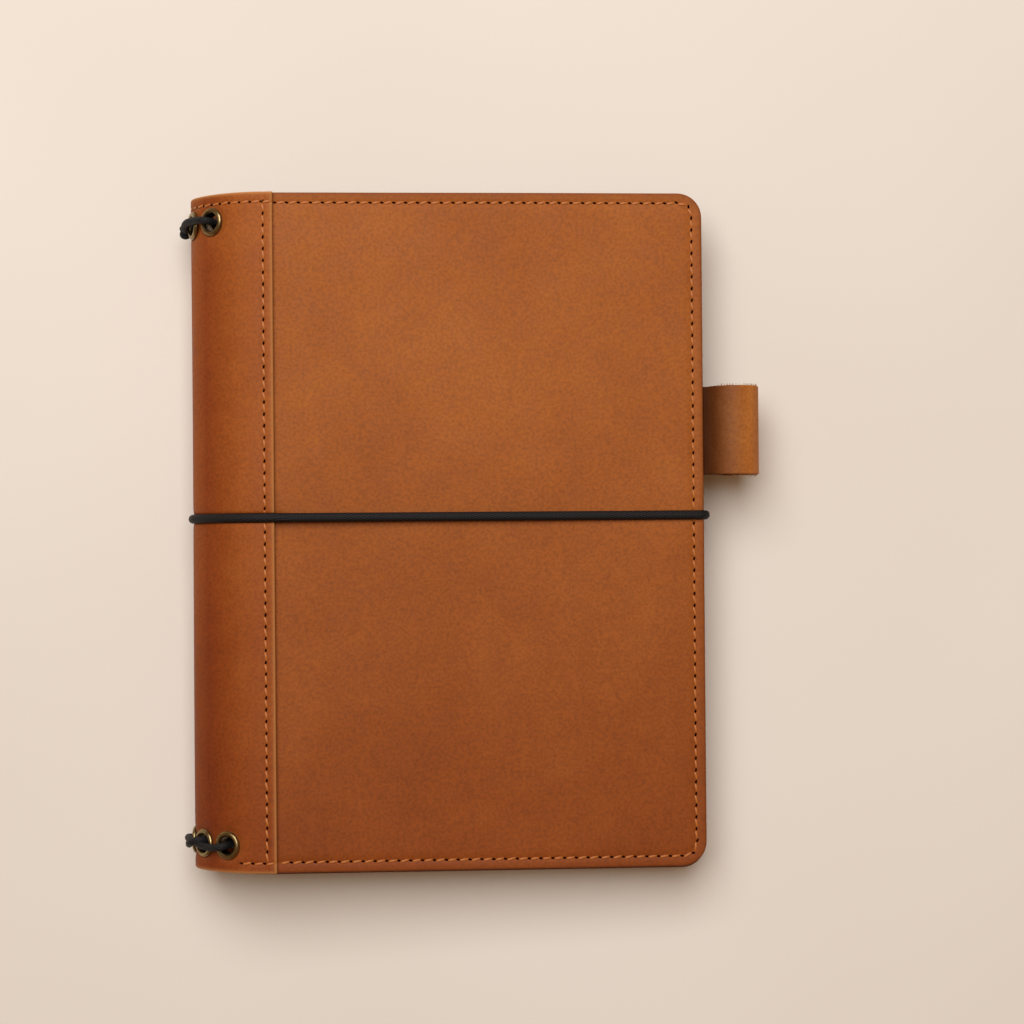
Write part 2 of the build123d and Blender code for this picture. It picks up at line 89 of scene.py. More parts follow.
@dataclass(frozen=True)
class CoverSection:
    """The closed cover's section, measured round the spine and into the leather.

    A station is the distance round the outside from the spine's outermost line, positive
    towards the front cover and negative towards the back. A depth is the distance into the
    leather from the outside.
    """

    left: float
    middle: float
    bottom: float
    width: float
    height: float
    spine_thickness: float = 28.0
    fore_thickness: float = 18.5
    nose_radius: float = 11.0
    shoulder_reach: float = 24.0
    strip_reach: float = 26.0
    corner_radius: float = 7.2
    strip_leather: float = 1.8
    panel_leather: float = 1.8
    lining_leather: float = 0.9
    pocket_leather: float = 0.9

    @property
    def nose_centre(self) -> tuple[float, float]:
        """Centre of the spine's tight bend."""
        return self.nose_radius, self.bottom + self.nose_radius

    @property
    def blend_angle(self) -> float:
        """Where the tight bend meets the shoulder, in radians."""
        rise = self.spine_thickness - 2 * self.nose_radius
        return math.pi / 2 + 2 * math.atan(rise / (self.shoulder_reach - self.nose_radius))

    @property
    def shoulder_radius(self) -> float:
        """Radius of the spine's long front curve."""
        reach = self.shoulder_reach - self.nose_radius
        return self.nose_radius + reach / math.sin(self.blend_angle - math.pi / 2)

    @property
    def shoulder_centre(self) -> tuple[float, float]:
        """Centre of the spine's long front curve."""
        return self.shoulder_reach, self.bottom + self.spine_thickness - self.shoulder_radius

    @property
    def front_angle(self) -> float:
        """Where the long curve runs into the flat front cover, in radians."""
        dx = self.width - self.shoulder_centre[0]
        dz = self.bottom + self.fore_thickness + self.strip_leather - self.shoulder_centre[1]
        return math.atan2(dz, dx) + math.acos(self.shoulder_radius / math.hypot(dx, dz))

    @property
    def nose_front(self) -> float:
        """Length of the tight bend on the front's side."""
        return self.nose_radius * (math.pi - self.blend_angle)

    @property
    def nose_back(self) -> float:
        """Length of the tight bend on the back's side."""
        return self.nose_radius * math.pi / 2

    @property
    def front_touch(self) -> float:
        """Station where the flat front cover starts."""
        return self.nose_front + self.shoulder_radius * (self.blend_angle - self.front_angle)

    @property
    def lining_depth(self) -> float:
        """Depth of the linings' outer side."""
        return self.strip_leather + self.panel_leather

    @property
    def pocket_depth(self) -> float:
        """Depth of the pockets' outer side."""
        return self.lining_depth + self.lining_leather

    @property
    def inner_depth(self) -> float:
        """Depth of the innermost leather surface."""
        return self.pocket_depth + self.pocket_leather

    def place(self, station: float, depth: float = 0.0) -> tuple[float, float, float]:
        """Where a station lies, and which way its leather faces.

        Args:
            station: distance round the outside from the spine's outermost line.
            depth: distance into the leather.

        Returns:
            x and z in the section, and the outward normal's angle in radians.
        """
        if station < 0 and -station > self.nose_back:
            x = self.nose_radius - station - self.nose_back
            beyond = max(0.0, x - self.strip_reach) / (self.width - self.strip_reach)
            return x, self.bottom + depth - self.strip_leather * beyond, 1.5 * math.pi
        if station <= self.nose_front:
            angle = math.pi - station / self.nose_radius
            return (*polar(self.nose_centre, self.nose_radius - depth, angle), angle)
        turned = (station - self.nose_front) / self.shoulder_radius
        angle = max(self.front_angle, self.blend_angle - turned)
        x, z = polar(self.shoulder_centre, self.shoulder_radius - depth, angle)
        run = max(0.0, station - self.front_touch)
        slope = self.front_angle - math.pi / 2
        return x + run * math.cos(slope), z + run * math.sin(slope), angle

    def station(self, side: Side, x: float, depth: float = 0.0) -> float:
        """The station of the point that lies at x, this deep in the front or back cover."""
        if side is Side.BACK:
            if x >= self.nose_radius:
                return -(self.nose_back + x - self.nose_radius)
            return -self.nose_radius * math.asin(1 - x / self.nose_radius)
        radius = self.shoulder_radius - depth
        touch = self.shoulder_centre[0] + radius * math.cos(self.front_angle)
        if x >= touch:
            return self.front_touch + (x - touch) / math.cos(self.front_angle - math.pi / 2)
        angle = math.acos((x - self.shoulder_centre[0]) / radius)
        return self.nose_front + (self.blend_angle - angle) * self.shoulder_radius

    def point(self, station: float, y: float, depth: float = 0.0) -> Vector:
        """A point of the leather in metres, in the part's frame."""
        x, z, _ = self.place(station, depth)
        return self.world(x, y, z)

    def world(self, x: float, y: float, z: float) -> Vector:
        """A point of the section at height y along the spine, in metres."""
        return Vector((self.left + x, self.middle + y, z)) * MM

    def edge_distance(self, x: float, y: float) -> float:
        """How far inside the cover's rounded outline a point of the plan is."""
        across = self.width - x
        down = self.height / 2 - abs(y)
        radius = self.corner_radius
        if across < radius and down < radius:
            return radius - math.hypot(radius - across, radius - down)
        return min(across, down)

    def round_corner(self, x: float, y: float) -> tuple[float, float]:
        """Moves a point of a square-cornered grid so that the grid's corners become round."""
        radius = self.corner_radius
        a = (x - (self.width - radius)) / radius
        b = (abs(y) - (self.height / 2 - radius)) / radius
        if a <= 0 or b <= 0:
            return x, y
        reach = max(a, b) * radius
        angle = math.pi / 4 * b / a if a >= b else math.pi / 2 - math.pi / 4 * a / b
        corner_y = self.height / 2 - radius + reach * math.sin(angle)
        return self.width - radius + reach * math.cos(angle), math.copysign(corner_y, y)


@dataclass(frozen=True)
class ClosureRoute:
    """Where the closure elastic lies on the leather."""

    radius: float = 1.35
    y: float = 4.2
    corner: float = 2.2
    edge_proud: float = 0.55
    room: float = 0.08

    def height(self, section: CoverSection, side: Side, x: float) -> float:
        """How far the cord's centre stands over the panel at x, or over the strip before it."""
        if x <= section.strip_reach:
            return 0.0
        beyond = (x - section.strip_reach) / (section.width - section.strip_reach)
        proud = self.edge_proud if side is Side.FRONT else 0.0
        return section.strip_leather + (proud - section.strip_leather) * beyond

    def dent(self, height: float, y: float) -> float:
        """How far the cord presses the leather in, where its centre stands at this height."""
        away = abs(y - self.y)
        reach = self.radius + self.room
        press = max(0.0, reach - height)
        soft = 0.1 * press * math.exp(-((max(0.0, away - reach) / 1.3) ** 2))
        if away >= reach:
            return soft
        return max(soft, math.sqrt(reach * reach - away * away) - height)


@dataclass(frozen=True)
class EyeletRows:
    """Where the six eyelets sit, and their sizes."""

    edge: float = 8.0
    count: int = 3
    pitch: float = 9.6
    middle: float = 4.8
    foot_shift: float = 4.4  # the foot's row sits this far round towards the front
    flange: float = 4.15
    hole: float = 2.5
    wall: float = 0.4
    rise: float = 0.6
    seat: float = 0.5

    def station(self, end: int, index: int) -> float:
        """Station of an eyelet: end is 1 at the head and -1 at the foot, 0 is nearest the front."""
        shift = self.foot_shift if end < 0 else 0.0
        return self.middle + (1 - index) * self.pitch + shift

    def y(self, section: CoverSection, end: int) -> float:
        """How far along the spine a row lies."""
        return end * (section.height / 2 - self.edge)

    def nearest(self, section: CoverSection, station: float, y: float) -> float:
        """Distance on the leather from a point to the nearest eyelet's centre."""
        gaps = []
        for end in (1, -1):
            for index in range(self.count):
                across = station - self.station(end, index)
                gaps.append(math.hypot(across, y - self.y(section, end)))
        return min(gaps)


def read_section() -> CoverSection:
    """Takes the cover's place and overall sizes from the frame.

    Returns:
        The section that every piece is laid on.
    """
    spine_low, spine_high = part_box("spine_strip")
    _, panel_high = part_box("front_panel")
    return CoverSection(
        left=spine_low.x / MM,
        middle=(spine_low.y + spine_high.y) / 2 / MM,
        bottom=spine_low.z / MM,
        width=(panel_high.x - spine_low.x) / MM,
        height=(spine_high.y - spine_low.y) / MM,
    )


# ---- finishes ----


def linear(hex_colour: str) -> tuple[float, float, float, float]:
    """Turns an sRGB hex colour into the linear colour that a shader takes."""
    channels = [int(hex_colour[i : i + 2], 16) / 255 for i in (1, 3, 5)]
    lit = [c / 12.92 if c <= 0.04045 else ((c + 0.055) / 1.055) ** 2.4 for c in channels]
    return (*lit, 1.0)


def add_node(tree: bpy.types.NodeTree, kind: str, links: dict, **settings) -> bpy.types.Node:
    """Adds a shader node.

    Args:
        tree: the material's node tree.
        kind: the node's type name without its "ShaderNode" start.
        links: socket name or number to a value, or to the output socket that feeds it.
        settings: properties of the node.

    Returns:
        The new node.
    """
    node = tree.nodes.new("ShaderNode" + kind)
    for key, value in settings.items():
        setattr(node, key, value)
    for key, value in links.items():
        if isinstance(value, bpy.types.NodeSocket):
            tree.links.new(value, node.inputs[key])
        else:
            node.inputs[key].default_value = value
    return node


def pattern_scale(size_mm: float) -> float:
    """The texture scale that repeats a pattern every so many millimetres."""
    return 1 / (size_mm * MM)


def object_place(tree: bpy.types.NodeTree) -> bpy.types.NodeSocket:
    """The output that gives a point's place on its object, in metres."""
    return add_node(tree, "TexCoord", {}).outputs["Object"]


def noise(
    tree: bpy.types.NodeTree, place: bpy.types.NodeSocket, size_mm: float, **sockets: float
) -> bpy.types.NodeSocket:
    """Adds a noise texture.

    Args:
        tree: the material's node tree.
        place: the output that gives the place.
        size_mm: the size of its blotches.
        sockets: other values of the texture, by socket name.

    Returns:
        The texture's value output.
    """
    links = {"Vector": place, "Scale": pattern_scale(size_mm), **sockets}
    return add_node(tree, "TexNoise", links).outputs["Fac"]


def arithmetic(tree: bpy.types.NodeTree, operation: str, *values) -> bpy.types.NodeSocket:
    """Adds a Math node over these values or sockets, in order.

    Returns:
        The result's output.
    """
    return add_node(tree, "Math", dict(enumerate(values)), operation=operation).outputs[0]


def remap(
    tree: bpy.types.NodeTree,
    value: bpy.types.NodeSocket,
    source: tuple[float, float],
    target: tuple[float, float] = (0.0, 1.0),
) -> bpy.types.NodeSocket:
    """Maps a value from one range to another, held at both ends.

    Returns:
        The mapped value's output.
    """
    links = {"Value": value, "From Min": source[0], "From Max": source[1]}
    links |= {"To Min": target[0], "To Max": target[1]}
    return add_node(tree, "MapRange", links).outputs["Result"]


def relief_normal(
    tree: bpy.types.NodeTree,
    height: bpy.types.NodeSocket,
    strength: float,
    depth_mm: float,
    below: bpy.types.NodeSocket | None = None,
) -> bpy.types.NodeSocket:
    """Bends the shading normal by a height pattern.

    Args:
        tree: the material's node tree.
        height: the pattern.
        strength: how much of it shows, 0 to 1.
        depth_mm: its full depth in millimetres.
        below: the normal of a coarser relief that this one lies on.

    Returns:
        The bent normal's output.
    """
    links = {"Height": height, "Strength": strength, "Distance": depth_mm * MM}
    if below is not None:
        links["Normal"] = below
    return add_node(tree, "Bump", links).outputs["Normal"]


def ramp(tree: bpy.types.NodeTree, factor: bpy.types.NodeSocket, *stops: tuple[float, str]):
    """Adds a colour ramp through these (place, hex colour) stops.

    Returns:
        The ramp's colour output.
    """
    node = add_node(tree, "ValToRGB", {"Fac": factor})
    elements = node.color_ramp.elements
    while len(elements) < len(stops):
        elements.new(0.5)
    for element, (place, colour) in zip(elements, stops):
        element.position = place
        element.color = linear(colour)
    return node.outputs["Color"]


def multiply_colours(
    tree: bpy.types.NodeTree, first: bpy.types.NodeSocket, second: bpy.types.NodeSocket, amount: float = 1.0
) -> bpy.types.NodeSocket:
    """Multiplies one colour by another, by this amount.

    Returns:
        The product's colour output.
    """
    links = {"Fac": amount, "Color1": first, "Color2": second}
    return add_node(tree, "MixRGB", links, blend_type="MULTIPLY").outputs["Color"]


def blank_material(name: str) -> tuple[bpy.types.Material, bpy.types.NodeTree, bpy.types.Node]:
    """Makes a node material.

    Returns:
        The material, its tree and its Principled shader.
    """
    material = bpy.data.materials.new(name)
    material.use_nodes = True
    tree = material.node_tree
    return material, tree, tree.nodes["Principled BSDF"]


def plug(tree: bpy.types.NodeTree, shader: bpy.types.Node, **sockets) -> None:
    """Sets or links the shader's sockets: a name's underscores stand for spaces."""
    for key, value in sockets.items():
        socket = shader.inputs[key.replace("_", " ")]
        if isinstance(value, bpy.types.NodeSocket):
            tree.links.new(value, socket)
        else:
            socket.default_value = value


@dataclass(frozen=True)
class PullUpLeather:
    """Waxed vegetable-tanned leather: clouded where the wax has moved, finely pored, satin."""

    name: str
    dark: str
    middle: str
    light: str
    edge: str
    cloud_mm: float = 34.0
    mottle_mm: float = 7.0
    pore_mm: float = 0.55
    crease_mm: float = 3.2
    roughness: tuple[float, float] = (0.54, 0.68)
    pore_relief: float = 0.05
    speck_tone: str = "#C9C9C9"
    speck_share: float = 0.55
    specular: float = 0.22
    # painted shade: the leather darkens towards the foot, away from the softbox at the head
    foot_shade_tone: str = "#DCC6AE"
    foot_shade_fade: tuple[float, float] = (-95.0, 45.0)
    # painted shade: a darker band across the spine's rounded shoulder, between the two places of bend in mm
    # along X
    bend_shade_tone: str | None = None
    bend: tuple[float, float] = (0.0, 1.0)

    def material(self) -> bpy.types.Material:
        """Builds the material. It reads the float attribute "wear_and_shade": 1 at a worn edge, and 1 in the
        painted shadow beside the cover on the pen loop.
        """
        material, tree, shader = blank_material(self.name)
        place = object_place(tree)
        mottle = noise(tree, place, self.mottle_mm, Detail=6.0, Roughness=0.68)
        colour = self.tone(tree, place, mottle)
        # mixes in the edge colour: real wear at cut edges, and a painted shadow on the pen loop
        wear_and_shade = add_node(tree, "Attribute", {}, attribute_name="wear_and_shade").outputs["Fac"]
        colour = add_node(
            tree, "MixRGB", {"Fac": wear_and_shade, "Color1": colour, "Color2": linear(self.edge)}
        ).outputs["Color"]
        rough = remap(tree, mottle, (0.3, 0.7), self.roughness)
        pores = add_node(
            tree, "TexVoronoi",
            {"Vector": place, "Scale": pattern_scale(self.pore_mm), "Randomness": 1.0},
            feature="SMOOTH_F1",
        ).outputs["Distance"]
        creases = noise(tree, place, self.crease_mm, Detail=8.0, Roughness=0.7)
        bump = relief_normal(tree, creases, 0.35, 2.2 * self.pore_relief)
        bump = relief_normal(tree, pores, 0.6, self.pore_relief, below=bump)
        plug(tree, shader, Base_Color=colour, Roughness=rough, Normal=bump, Specular_IOR_Level=self.specular)
        return material

    def tone(
        self, tree: bpy.types.NodeTree, place: bpy.types.NodeSocket, mottle: bpy.types.NodeSocket
    ) -> bpy.types.NodeSocket:
        """Builds the unworn leather's colour: clouds and specks, with painted shade darker towards the foot
        and across the bend.
        """
        cloud = noise(tree, place, self.cloud_mm, Detail=3.0, Roughness=0.55, Distortion=0.4)
        wax = arithmetic(tree, "MULTIPLY", cloud, 0.55)
        wax = arithmetic(tree, "MULTIPLY_ADD", mottle, 0.45, wax)
        colour = ramp(tree, wax, (0.3, self.dark), (0.5, self.middle), (0.7, self.light))
        speck = noise(tree, place, self.pore_mm * 1.6, Detail=2.0)
        speck = ramp(tree, speck, (0.3, self.speck_tone), (0.62, "#FFFFFF"))
        colour = multiply_colours(tree, colour, speck, self.speck_share)
        split = add_node(tree, "SeparateXYZ", {"Vector": place})
        # painted shade: darker along Y towards the foot
        low, high = self.foot_shade_fade
        foot_shade = remap(tree, split.outputs["Y"], (low * MM, high * MM))
        colour = multiply_colours(tree, colour, ramp(tree, foot_shade, (0.0, self.foot_shade_tone), (1.0, "#FFFFFF")))
        if self.bend_shade_tone is None:
            return colour
        # painted shade: darker across the spine's shoulder, plain at the outermost line and towards the front
        across = remap(tree, split.outputs["X"], (self.bend[0] * MM, self.bend[1] * MM))
        bend_shade = ramp(tree, across, (0.0, "#FFFFFF"), (0.28, self.bend_shade_tone), (0.8, "#FFFFFF"))
        return multiply_colours(tree, colour, bend_shade)


@dataclass(frozen=True)
class CutEdge:
    """A leather sheet's cut edge, dyed and rubbed smooth: the packed fibres show as fine layers."""

    name: str
    dark: str
    light: str
    fibre_mm: float = 0.35
    shine: float = 0.35

    def material(self) -> bpy.types.Material:
        """Builds the material."""
        material, tree, shader = blank_material(self.name)
        place = object_place(tree)
        fibre = noise(tree, place, self.fibre_mm, Detail=5.0, Roughness=0.7)
        tone = arithmetic(tree, "MULTIPLY", fibre, noise(tree, place, 6.0))
        colour = ramp(tree, tone, (0.12, self.dark), (0.42, self.light))
        bump = relief_normal(tree, fibre, 0.5, 0.08)
        plug(tree, shader, Base_Color=colour, Roughness=0.6, Normal=bump, Specular_IOR_Level=self.shine)
        return material


@dataclass(frozen=True)
class WaxedThread:
    """Two-ply waxed polyester thread: the plies show as slanted ridges with a dull shine."""

    name: str
    dark: str
    light: str
    twist: float = 3.0

    def material(self) -> bpy.types.Material:
        """Builds the material. Its twist follows the stitches' own UV map."""
        material, tree, shader = blank_material(self.name)
        uv = add_node(tree, "TexCoord", {}).outputs["UV"]
        links = {"Vector": uv, "Rotation": (0.0, 0.0, 0.9), "Scale": (self.twist, self.twist, 1.0)}
        turned = add_node(tree, "Mapping", links).outputs["Vector"]
        plies = add_node(
            tree, "TexWave", {"Vector": turned, "Scale": 0.5, "Distortion": 0.6, "Detail": 1.0}
        ).outputs["Fac"]
        colour = ramp(tree, plies, (0.1, self.dark), (0.7, self.light))
        bump = relief_normal(tree, plies, 0.6, 0.12)
        plug(tree, shader, Base_Color=colour, Roughness=0.48, Normal=bump, Sheen_Weight=0.2)
        return material


@dataclass(frozen=True)
class BraidedElastic:
    """Rubber core under a braided polyester sleeve: a fine diamond of strands, nearly black."""

    name: str
    dark: str
    light: str
    strands: float = 9.0
    pitch_mm: float = 1.6

    def material(self) -> bpy.types.Material:
        """Builds the material. The braid follows the cord's UV map, in turns and millimetres."""
        material, tree, shader = blank_material(self.name)
        uv = add_node(tree, "TexCoord", {}).outputs["UV"]
        split = add_node(tree, "SeparateXYZ", {"Vector": uv})
        around = arithmetic(tree, "MULTIPLY", split.outputs["X"], TAU * self.strands)
        ridges = []
        for way in (1, -1):
            rate = way * TAU / self.pitch_mm
            phase = arithmetic(tree, "MULTIPLY_ADD", split.outputs["Y"], rate, around)
            ridges.append(arithmetic(tree, "SINE", phase))
        braid = arithmetic(tree, "MAXIMUM", *ridges)
        tone = arithmetic(tree, "MULTIPLY", braid, noise(tree, object_place(tree), 0.5))
        colour = ramp(tree, tone, (0.0, self.dark), (0.55, self.light))
        bump = relief_normal(tree, braid, 0.55, 0.12)
        plug(tree, shader, Base_Color=colour, Roughness=0.62, Normal=bump, Specular_IOR_Level=0.3)
        return material


@dataclass(frozen=True)
class AntiqueBrass:
    """Brass darkened in a bath and rubbed back: bright on the rims, brown-black in the hollows."""

    name: str
    dark: str
    light: str
    tarnish_mm: float = 1.4

    def material(self) -> bpy.types.Material:
        """Builds the material. The attribute "wear_and_shade" is 1 where the dark coat is rubbed off."""
        material, tree, shader = blank_material(self.name)
        tarnish = noise(tree, object_place(tree), self.tarnish_mm, Detail=5.0, Roughness=0.65)
        wear_and_shade = add_node(tree, "Attribute", {}, attribute_name="wear_and_shade").outputs["Fac"]
        tone = arithmetic(tree, "MULTIPLY_ADD", tarnish, 0.5, wear_and_shade)
        colour = ramp(tree, tone, (0.2, self.dark), (0.72, self.light))
        rough = remap(tree, tone, (0.2, 0.8), (0.4, 0.2))
        bump = relief_normal(tree, tarnish, 0.25, 0.05)
        plug(tree, shader, Base_Color=colour, Metallic=1.0, Roughness=rough, Normal=bump)
        return material


@dataclass(frozen=True)
class Stationery:
    """Uncoated card or paper: pressed fibres with flecks, quite matte."""

    name: str
    dark: str
    light: str
    fleck_mm: float
    relief: float = 0.03
    layer_mm: float = 0.0

    def material(self) -> bpy.types.Material:
        """Builds the material. With a layer size, the cut leaves show as fine lines on upright faces."""
        material, tree, shader = blank_material(self.name)
        coordinates = add_node(tree, "TexCoord", {}).outputs
        place = coordinates["Object"]
        fleck = noise(tree, place, self.fleck_mm, Detail=6.0, Roughness=0.75)
        height = fleck
        if self.layer_mm:
            scale = pattern_scale(self.layer_mm) / TAU
            links = {"Vector": place, "Scale": scale, "Distortion": 0.8, "Detail": 2.0}
            lines = add_node(tree, "TexWave", links, bands_direction="Z").outputs["Fac"]
            facing = add_node(tree, "SeparateXYZ", {"Vector": coordinates["Normal"]}).outputs["Z"]
            cut = arithmetic(tree, "SUBTRACT", 0.9, arithmetic(tree, "ABSOLUTE", facing))
            cut = arithmetic(tree, "MAXIMUM", cut, 0.0)
            height = arithmetic(tree, "MULTIPLY_ADD", lines, cut, fleck)
        colour = ramp(tree, height, (0.35, self.dark), (0.75, self.light))
        bump = relief_normal(tree, height, 0.4, self.relief)
        plug(tree, shader, Base_Color=colour, Roughness=0.85, Normal=bump)
        return material


@dataclass(frozen=True)
class DrawnSteel:
    """Bright drawn steel wire: fine lines along it from the die."""

    name: str
    tone: str
    line_mm: float = 0.3

    def material(self) -> bpy.types.Material:
        """Builds the material."""
        material, tree, shader = blank_material(self.name)
        drawn = noise(tree, object_place(tree), self.line_mm, Detail=3.0)
        rough = remap(tree, drawn, (0.0, 1.0), (0.18, 0.42))
        plug(tree, shader, Base_Color=linear(self.tone), Metallic=1.0, Roughness=rough)
        return material


@dataclass(frozen=True)
class PaintedBoard:
    """The plain painted board that the cover lies on: very finely rough."""

    name: str
    dark: str
    light: str
    cloud_mm: float = 240.0
    grain_mm: float = 1.2

    def material(self) -> bpy.types.Material:
        """Builds the material."""
        material, tree, shader = blank_material(self.name)
        place = object_place(tree)
        cloud = noise(tree, place, self.cloud_mm, Detail=2.0)
        colour = ramp(tree, cloud, (0.3, self.dark), (0.7, self.light))
        bump = relief_normal(tree, noise(tree, place, self.grain_mm, Detail=4.0), 0.1, 0.05)
        plug(tree, shader, Base_Color=colour, Roughness=0.9, Normal=bump)
        return material


class Finishes:
    """Every finish of the cover, made once."""

    def __init__(self, left: float) -> None:
        """Makes the materials.

        Args:
            left: the spine's outermost line in the part's frame, in millimetres.
        """
        self.leather = PullUpLeather(
            "waxed_pull_up_leather", "#9E5418", "#A95D1E", "#B36727", "#7A3C12"
        ).material()
        # the strip's leather carries painted shade across the spine's shoulder
        self.strip = PullUpLeather(
            "waxed_pull_up_leather_strip", "#9C4F15", "#A7591C", "#B16324", "#C98C50",
            bend_shade_tone="#DDC0A0", bend=(left, left + 20.0),
        ).material()
        # painted shadow: the loop's edge colour darkens the fold beside the front cover
        self.loop = PullUpLeather(
            "waxed_pull_up_leather_loop", "#B26626", "#C07431", "#CC833D", "#3E1A07", cloud_mm=14.0
        ).material()
        self.lining = PullUpLeather(
            "drummed_lining_leather", "#7A4422", "#8C5230", "#9C613A", "#6E3B1C",
            roughness=(0.62, 0.78), pore_mm=0.8,
        ).material()
        self.edge = CutEdge("burnished_cut_edge", "#5E2F12", "#A4683A").material()
        self.raw_edge = CutEdge("raw_cut_edge", "#8A5228", "#C99A66", fibre_mm=0.5).material()
        self.thread = WaxedThread("waxed_thread", "#B9691F", "#F2A955").material()
        # painted shadow: the awl holes are near-black shallow dishes in place of their depth
        self.hole = CutEdge("awl_hole_shadow", "#140402", "#2A0B05", shine=0.0).material()
        self.lacing = BraidedElastic("braided_lacing_elastic", "#060607", "#1B1A1D").material()
        self.closure = BraidedElastic(
            "braided_closure_elastic", "#060606", "#191819", strands=12.0, pitch_mm=1.9
        ).material()
        self.brass = AntiqueBrass("antiqued_brass", "#2B2216", "#B39C6C").material()
        self.card = Stationery("kraft_card", "#8A6A48", "#A98660", fleck_mm=0.9).material()
        self.paper = Stationery("cream_paper", "#CFC4A6", "#EDE5CF", fleck_mm=1.5, layer_mm=0.35).material()
        self.wire = DrawnSteel("drawn_steel_wire", "#C9CACC").material()
        self.board = PaintedBoard("painted_board", "#EBE3D6", "#F2EBE0").material()


# ---- mesh tools ----


def grid_lines(low: float, high: float, step: float, marks: Iterable[float] = ()) -> list[float]:
    """Grid lines about a step apart, with a line exactly on each mark.

    Returns:
        The lines' places, from low to high.
    """
    stops = sorted({round(mark, 3) for mark in (low, high, *marks) if low <= mark <= high})
    lines = []
    for start, end in zip(stops, stops[1:]):
        count = max(1, math.ceil((end - start) / step))
        lines += [start + (end - start) * i / count for i in range(count)]
    return [*lines, high]


def crown(edge: float, radius: float) -> float:
    """How far a rounded edge falls away, this far in from it."""
    if edge >= radius:
        return 0.0
    return radius - math.sqrt(max(0.0, radius**2 - (radius - max(0.0, edge)) ** 2))


def channel(away: float, depth: float = 0.28, width: float = 0.62) -> float:
    """How far a stitch line pulls the leather in, this far to one side of it."""
    return depth * math.exp(-((away / width) ** 2))


def waves(u: float, v: float, size: float, seed: float) -> float:
    """Slow swells of a sheet that has been handled, about this high in millimetres."""
    first = math.sin(u / 19.0 + seed) * math.sin(v / 27.0 + 2.1 * seed)
    second = math.sin(u / 11.0 - v / 33.0 + 3.3 * seed)
    return size * (0.65 * first + 0.35 * second)


def finish_piece(
    name: str,
    bm: bmesh.types.BMesh,
    materials: list[bpy.types.Material],
    body: Body | None,
    replaced: tuple[str, ...] = (),
) -> bpy.types.Object:
    """Turns a finished bmesh into a smooth-shaded piece of the cover.

    Args:
        name: the piece's name.
        bm: its mesh in metres, freed here.
        materials: its materials in slot order.
        body: the body it rides on, or None for a piece that spans two, which is then left on no body.
        replaced: the frame's nodes that it stands for.

    Returns:
        The new object.
    """
    for face in bm.faces:
        face.smooth = True
    mesh = bpy.data.meshes.new(name)
    bm.to_mesh(mesh)
    bm.free()
    mesh.set_sharp_from_angle(angle=SHARP_ANGLE)
    for material in materials:
        mesh.materials.append(material)
    piece = bpy.data.objects.new(name, mesh)
    bpy.context.scene.collection.objects.link(piece)
    if body is not None:
        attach(piece, body.value)
    if replaced:
        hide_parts(*replaced)
    LOG.info("%s: %d faces", name, len(mesh.polygons))
    return piece


def leather_shell(
    us: list[float],
    vs: list[float],
    outside: Callable[[float, float], Vector],
    inside: Callable[[float, float], Vector],
    wear_and_shade: Callable[[float, float], float],
    keep: Callable[[float, float], bool] | None = None,
) -> bmesh.types.BMesh:
    """Lays a lined grid on a surface and gives it a second side and a cut edge.

    Args:
        us: grid lines across.
        vs: grid lines along.
        outside: where a grid point lies on the outer side.
        inside: where it lies on the inner side.
        wear_and_shade: how worn the leather is there, and on the pen loop how deep its painted shadow lies, 0
            to 1.
        keep: says whether a grid point is part of the sheet.

    Returns:
        A closed shell whose cut edges have material 1.
    """
    bm = bmesh.new()
    bmesh.ops.create_grid(bm, x_segments=len(us) - 1, y_segments=len(vs) - 1, size=0.5)
    across = bm.verts.layers.float.new("across")
    along = bm.verts.layers.float.new("along")
    wear_and_shade_layer = bm.verts.layers.float.new("wear_and_shade")
    for vert in bm.verts:
        vert[across] = us[round((vert.co.x + 0.5) * (len(us) - 1))]
        vert[along] = vs[round((vert.co.y + 0.5) * (len(vs) - 1))]
        vert[wear_and_shade_layer] = min(1.0, max(0.0, wear_and_shade(vert[across], vert[along])))
    if keep is not None:
        spare = [vert for vert in bm.verts if not keep(vert[across], vert[along])]
        bmesh.ops.delete(bm, geom=spare, context="VERTS")
    made = bmesh.ops.extrude_face_region(bm, geom=bm.faces[:], use_keep_orig=True)
    inner = {item for item in made["geom"] if isinstance(item, bmesh.types.BMVert)}
    for vert in bm.verts:
        where = inside if vert in inner else outside
        vert.co = where(vert[across], vert[along])
    for face in bm.faces:
        count = sum(vert in inner for vert in face.verts)
        face.material_index = 1 if 0 < count < len(face.verts) else 0
    bmesh.ops.recalc_face_normals(bm, faces=bm.faces)
    return bm


def path_frames(points: list[Vector], closed: bool) -> list[Matrix]:
    """A frame at each point of a path, its Z along the path, turning as little as it can.

    Returns:
        One matrix for each point.
    """
    count = len(points)
    frames = []
    side = None
    for i, point in enumerate(points):
        before = points[i - 1] if i or closed else point
        after = points[(i + 1) % count] if i + 1 < count or closed else point
        forward = (after - before).normalized()
        if side is None:
            side = forward.orthogonal().normalized()
        side = (side - forward * side.dot(forward)).normalized()
        up = forward.cross(side)
        matrix = Matrix((side, up, forward)).transposed().to_4x4()
        matrix.translation = point
        frames.append(matrix)
    return frames


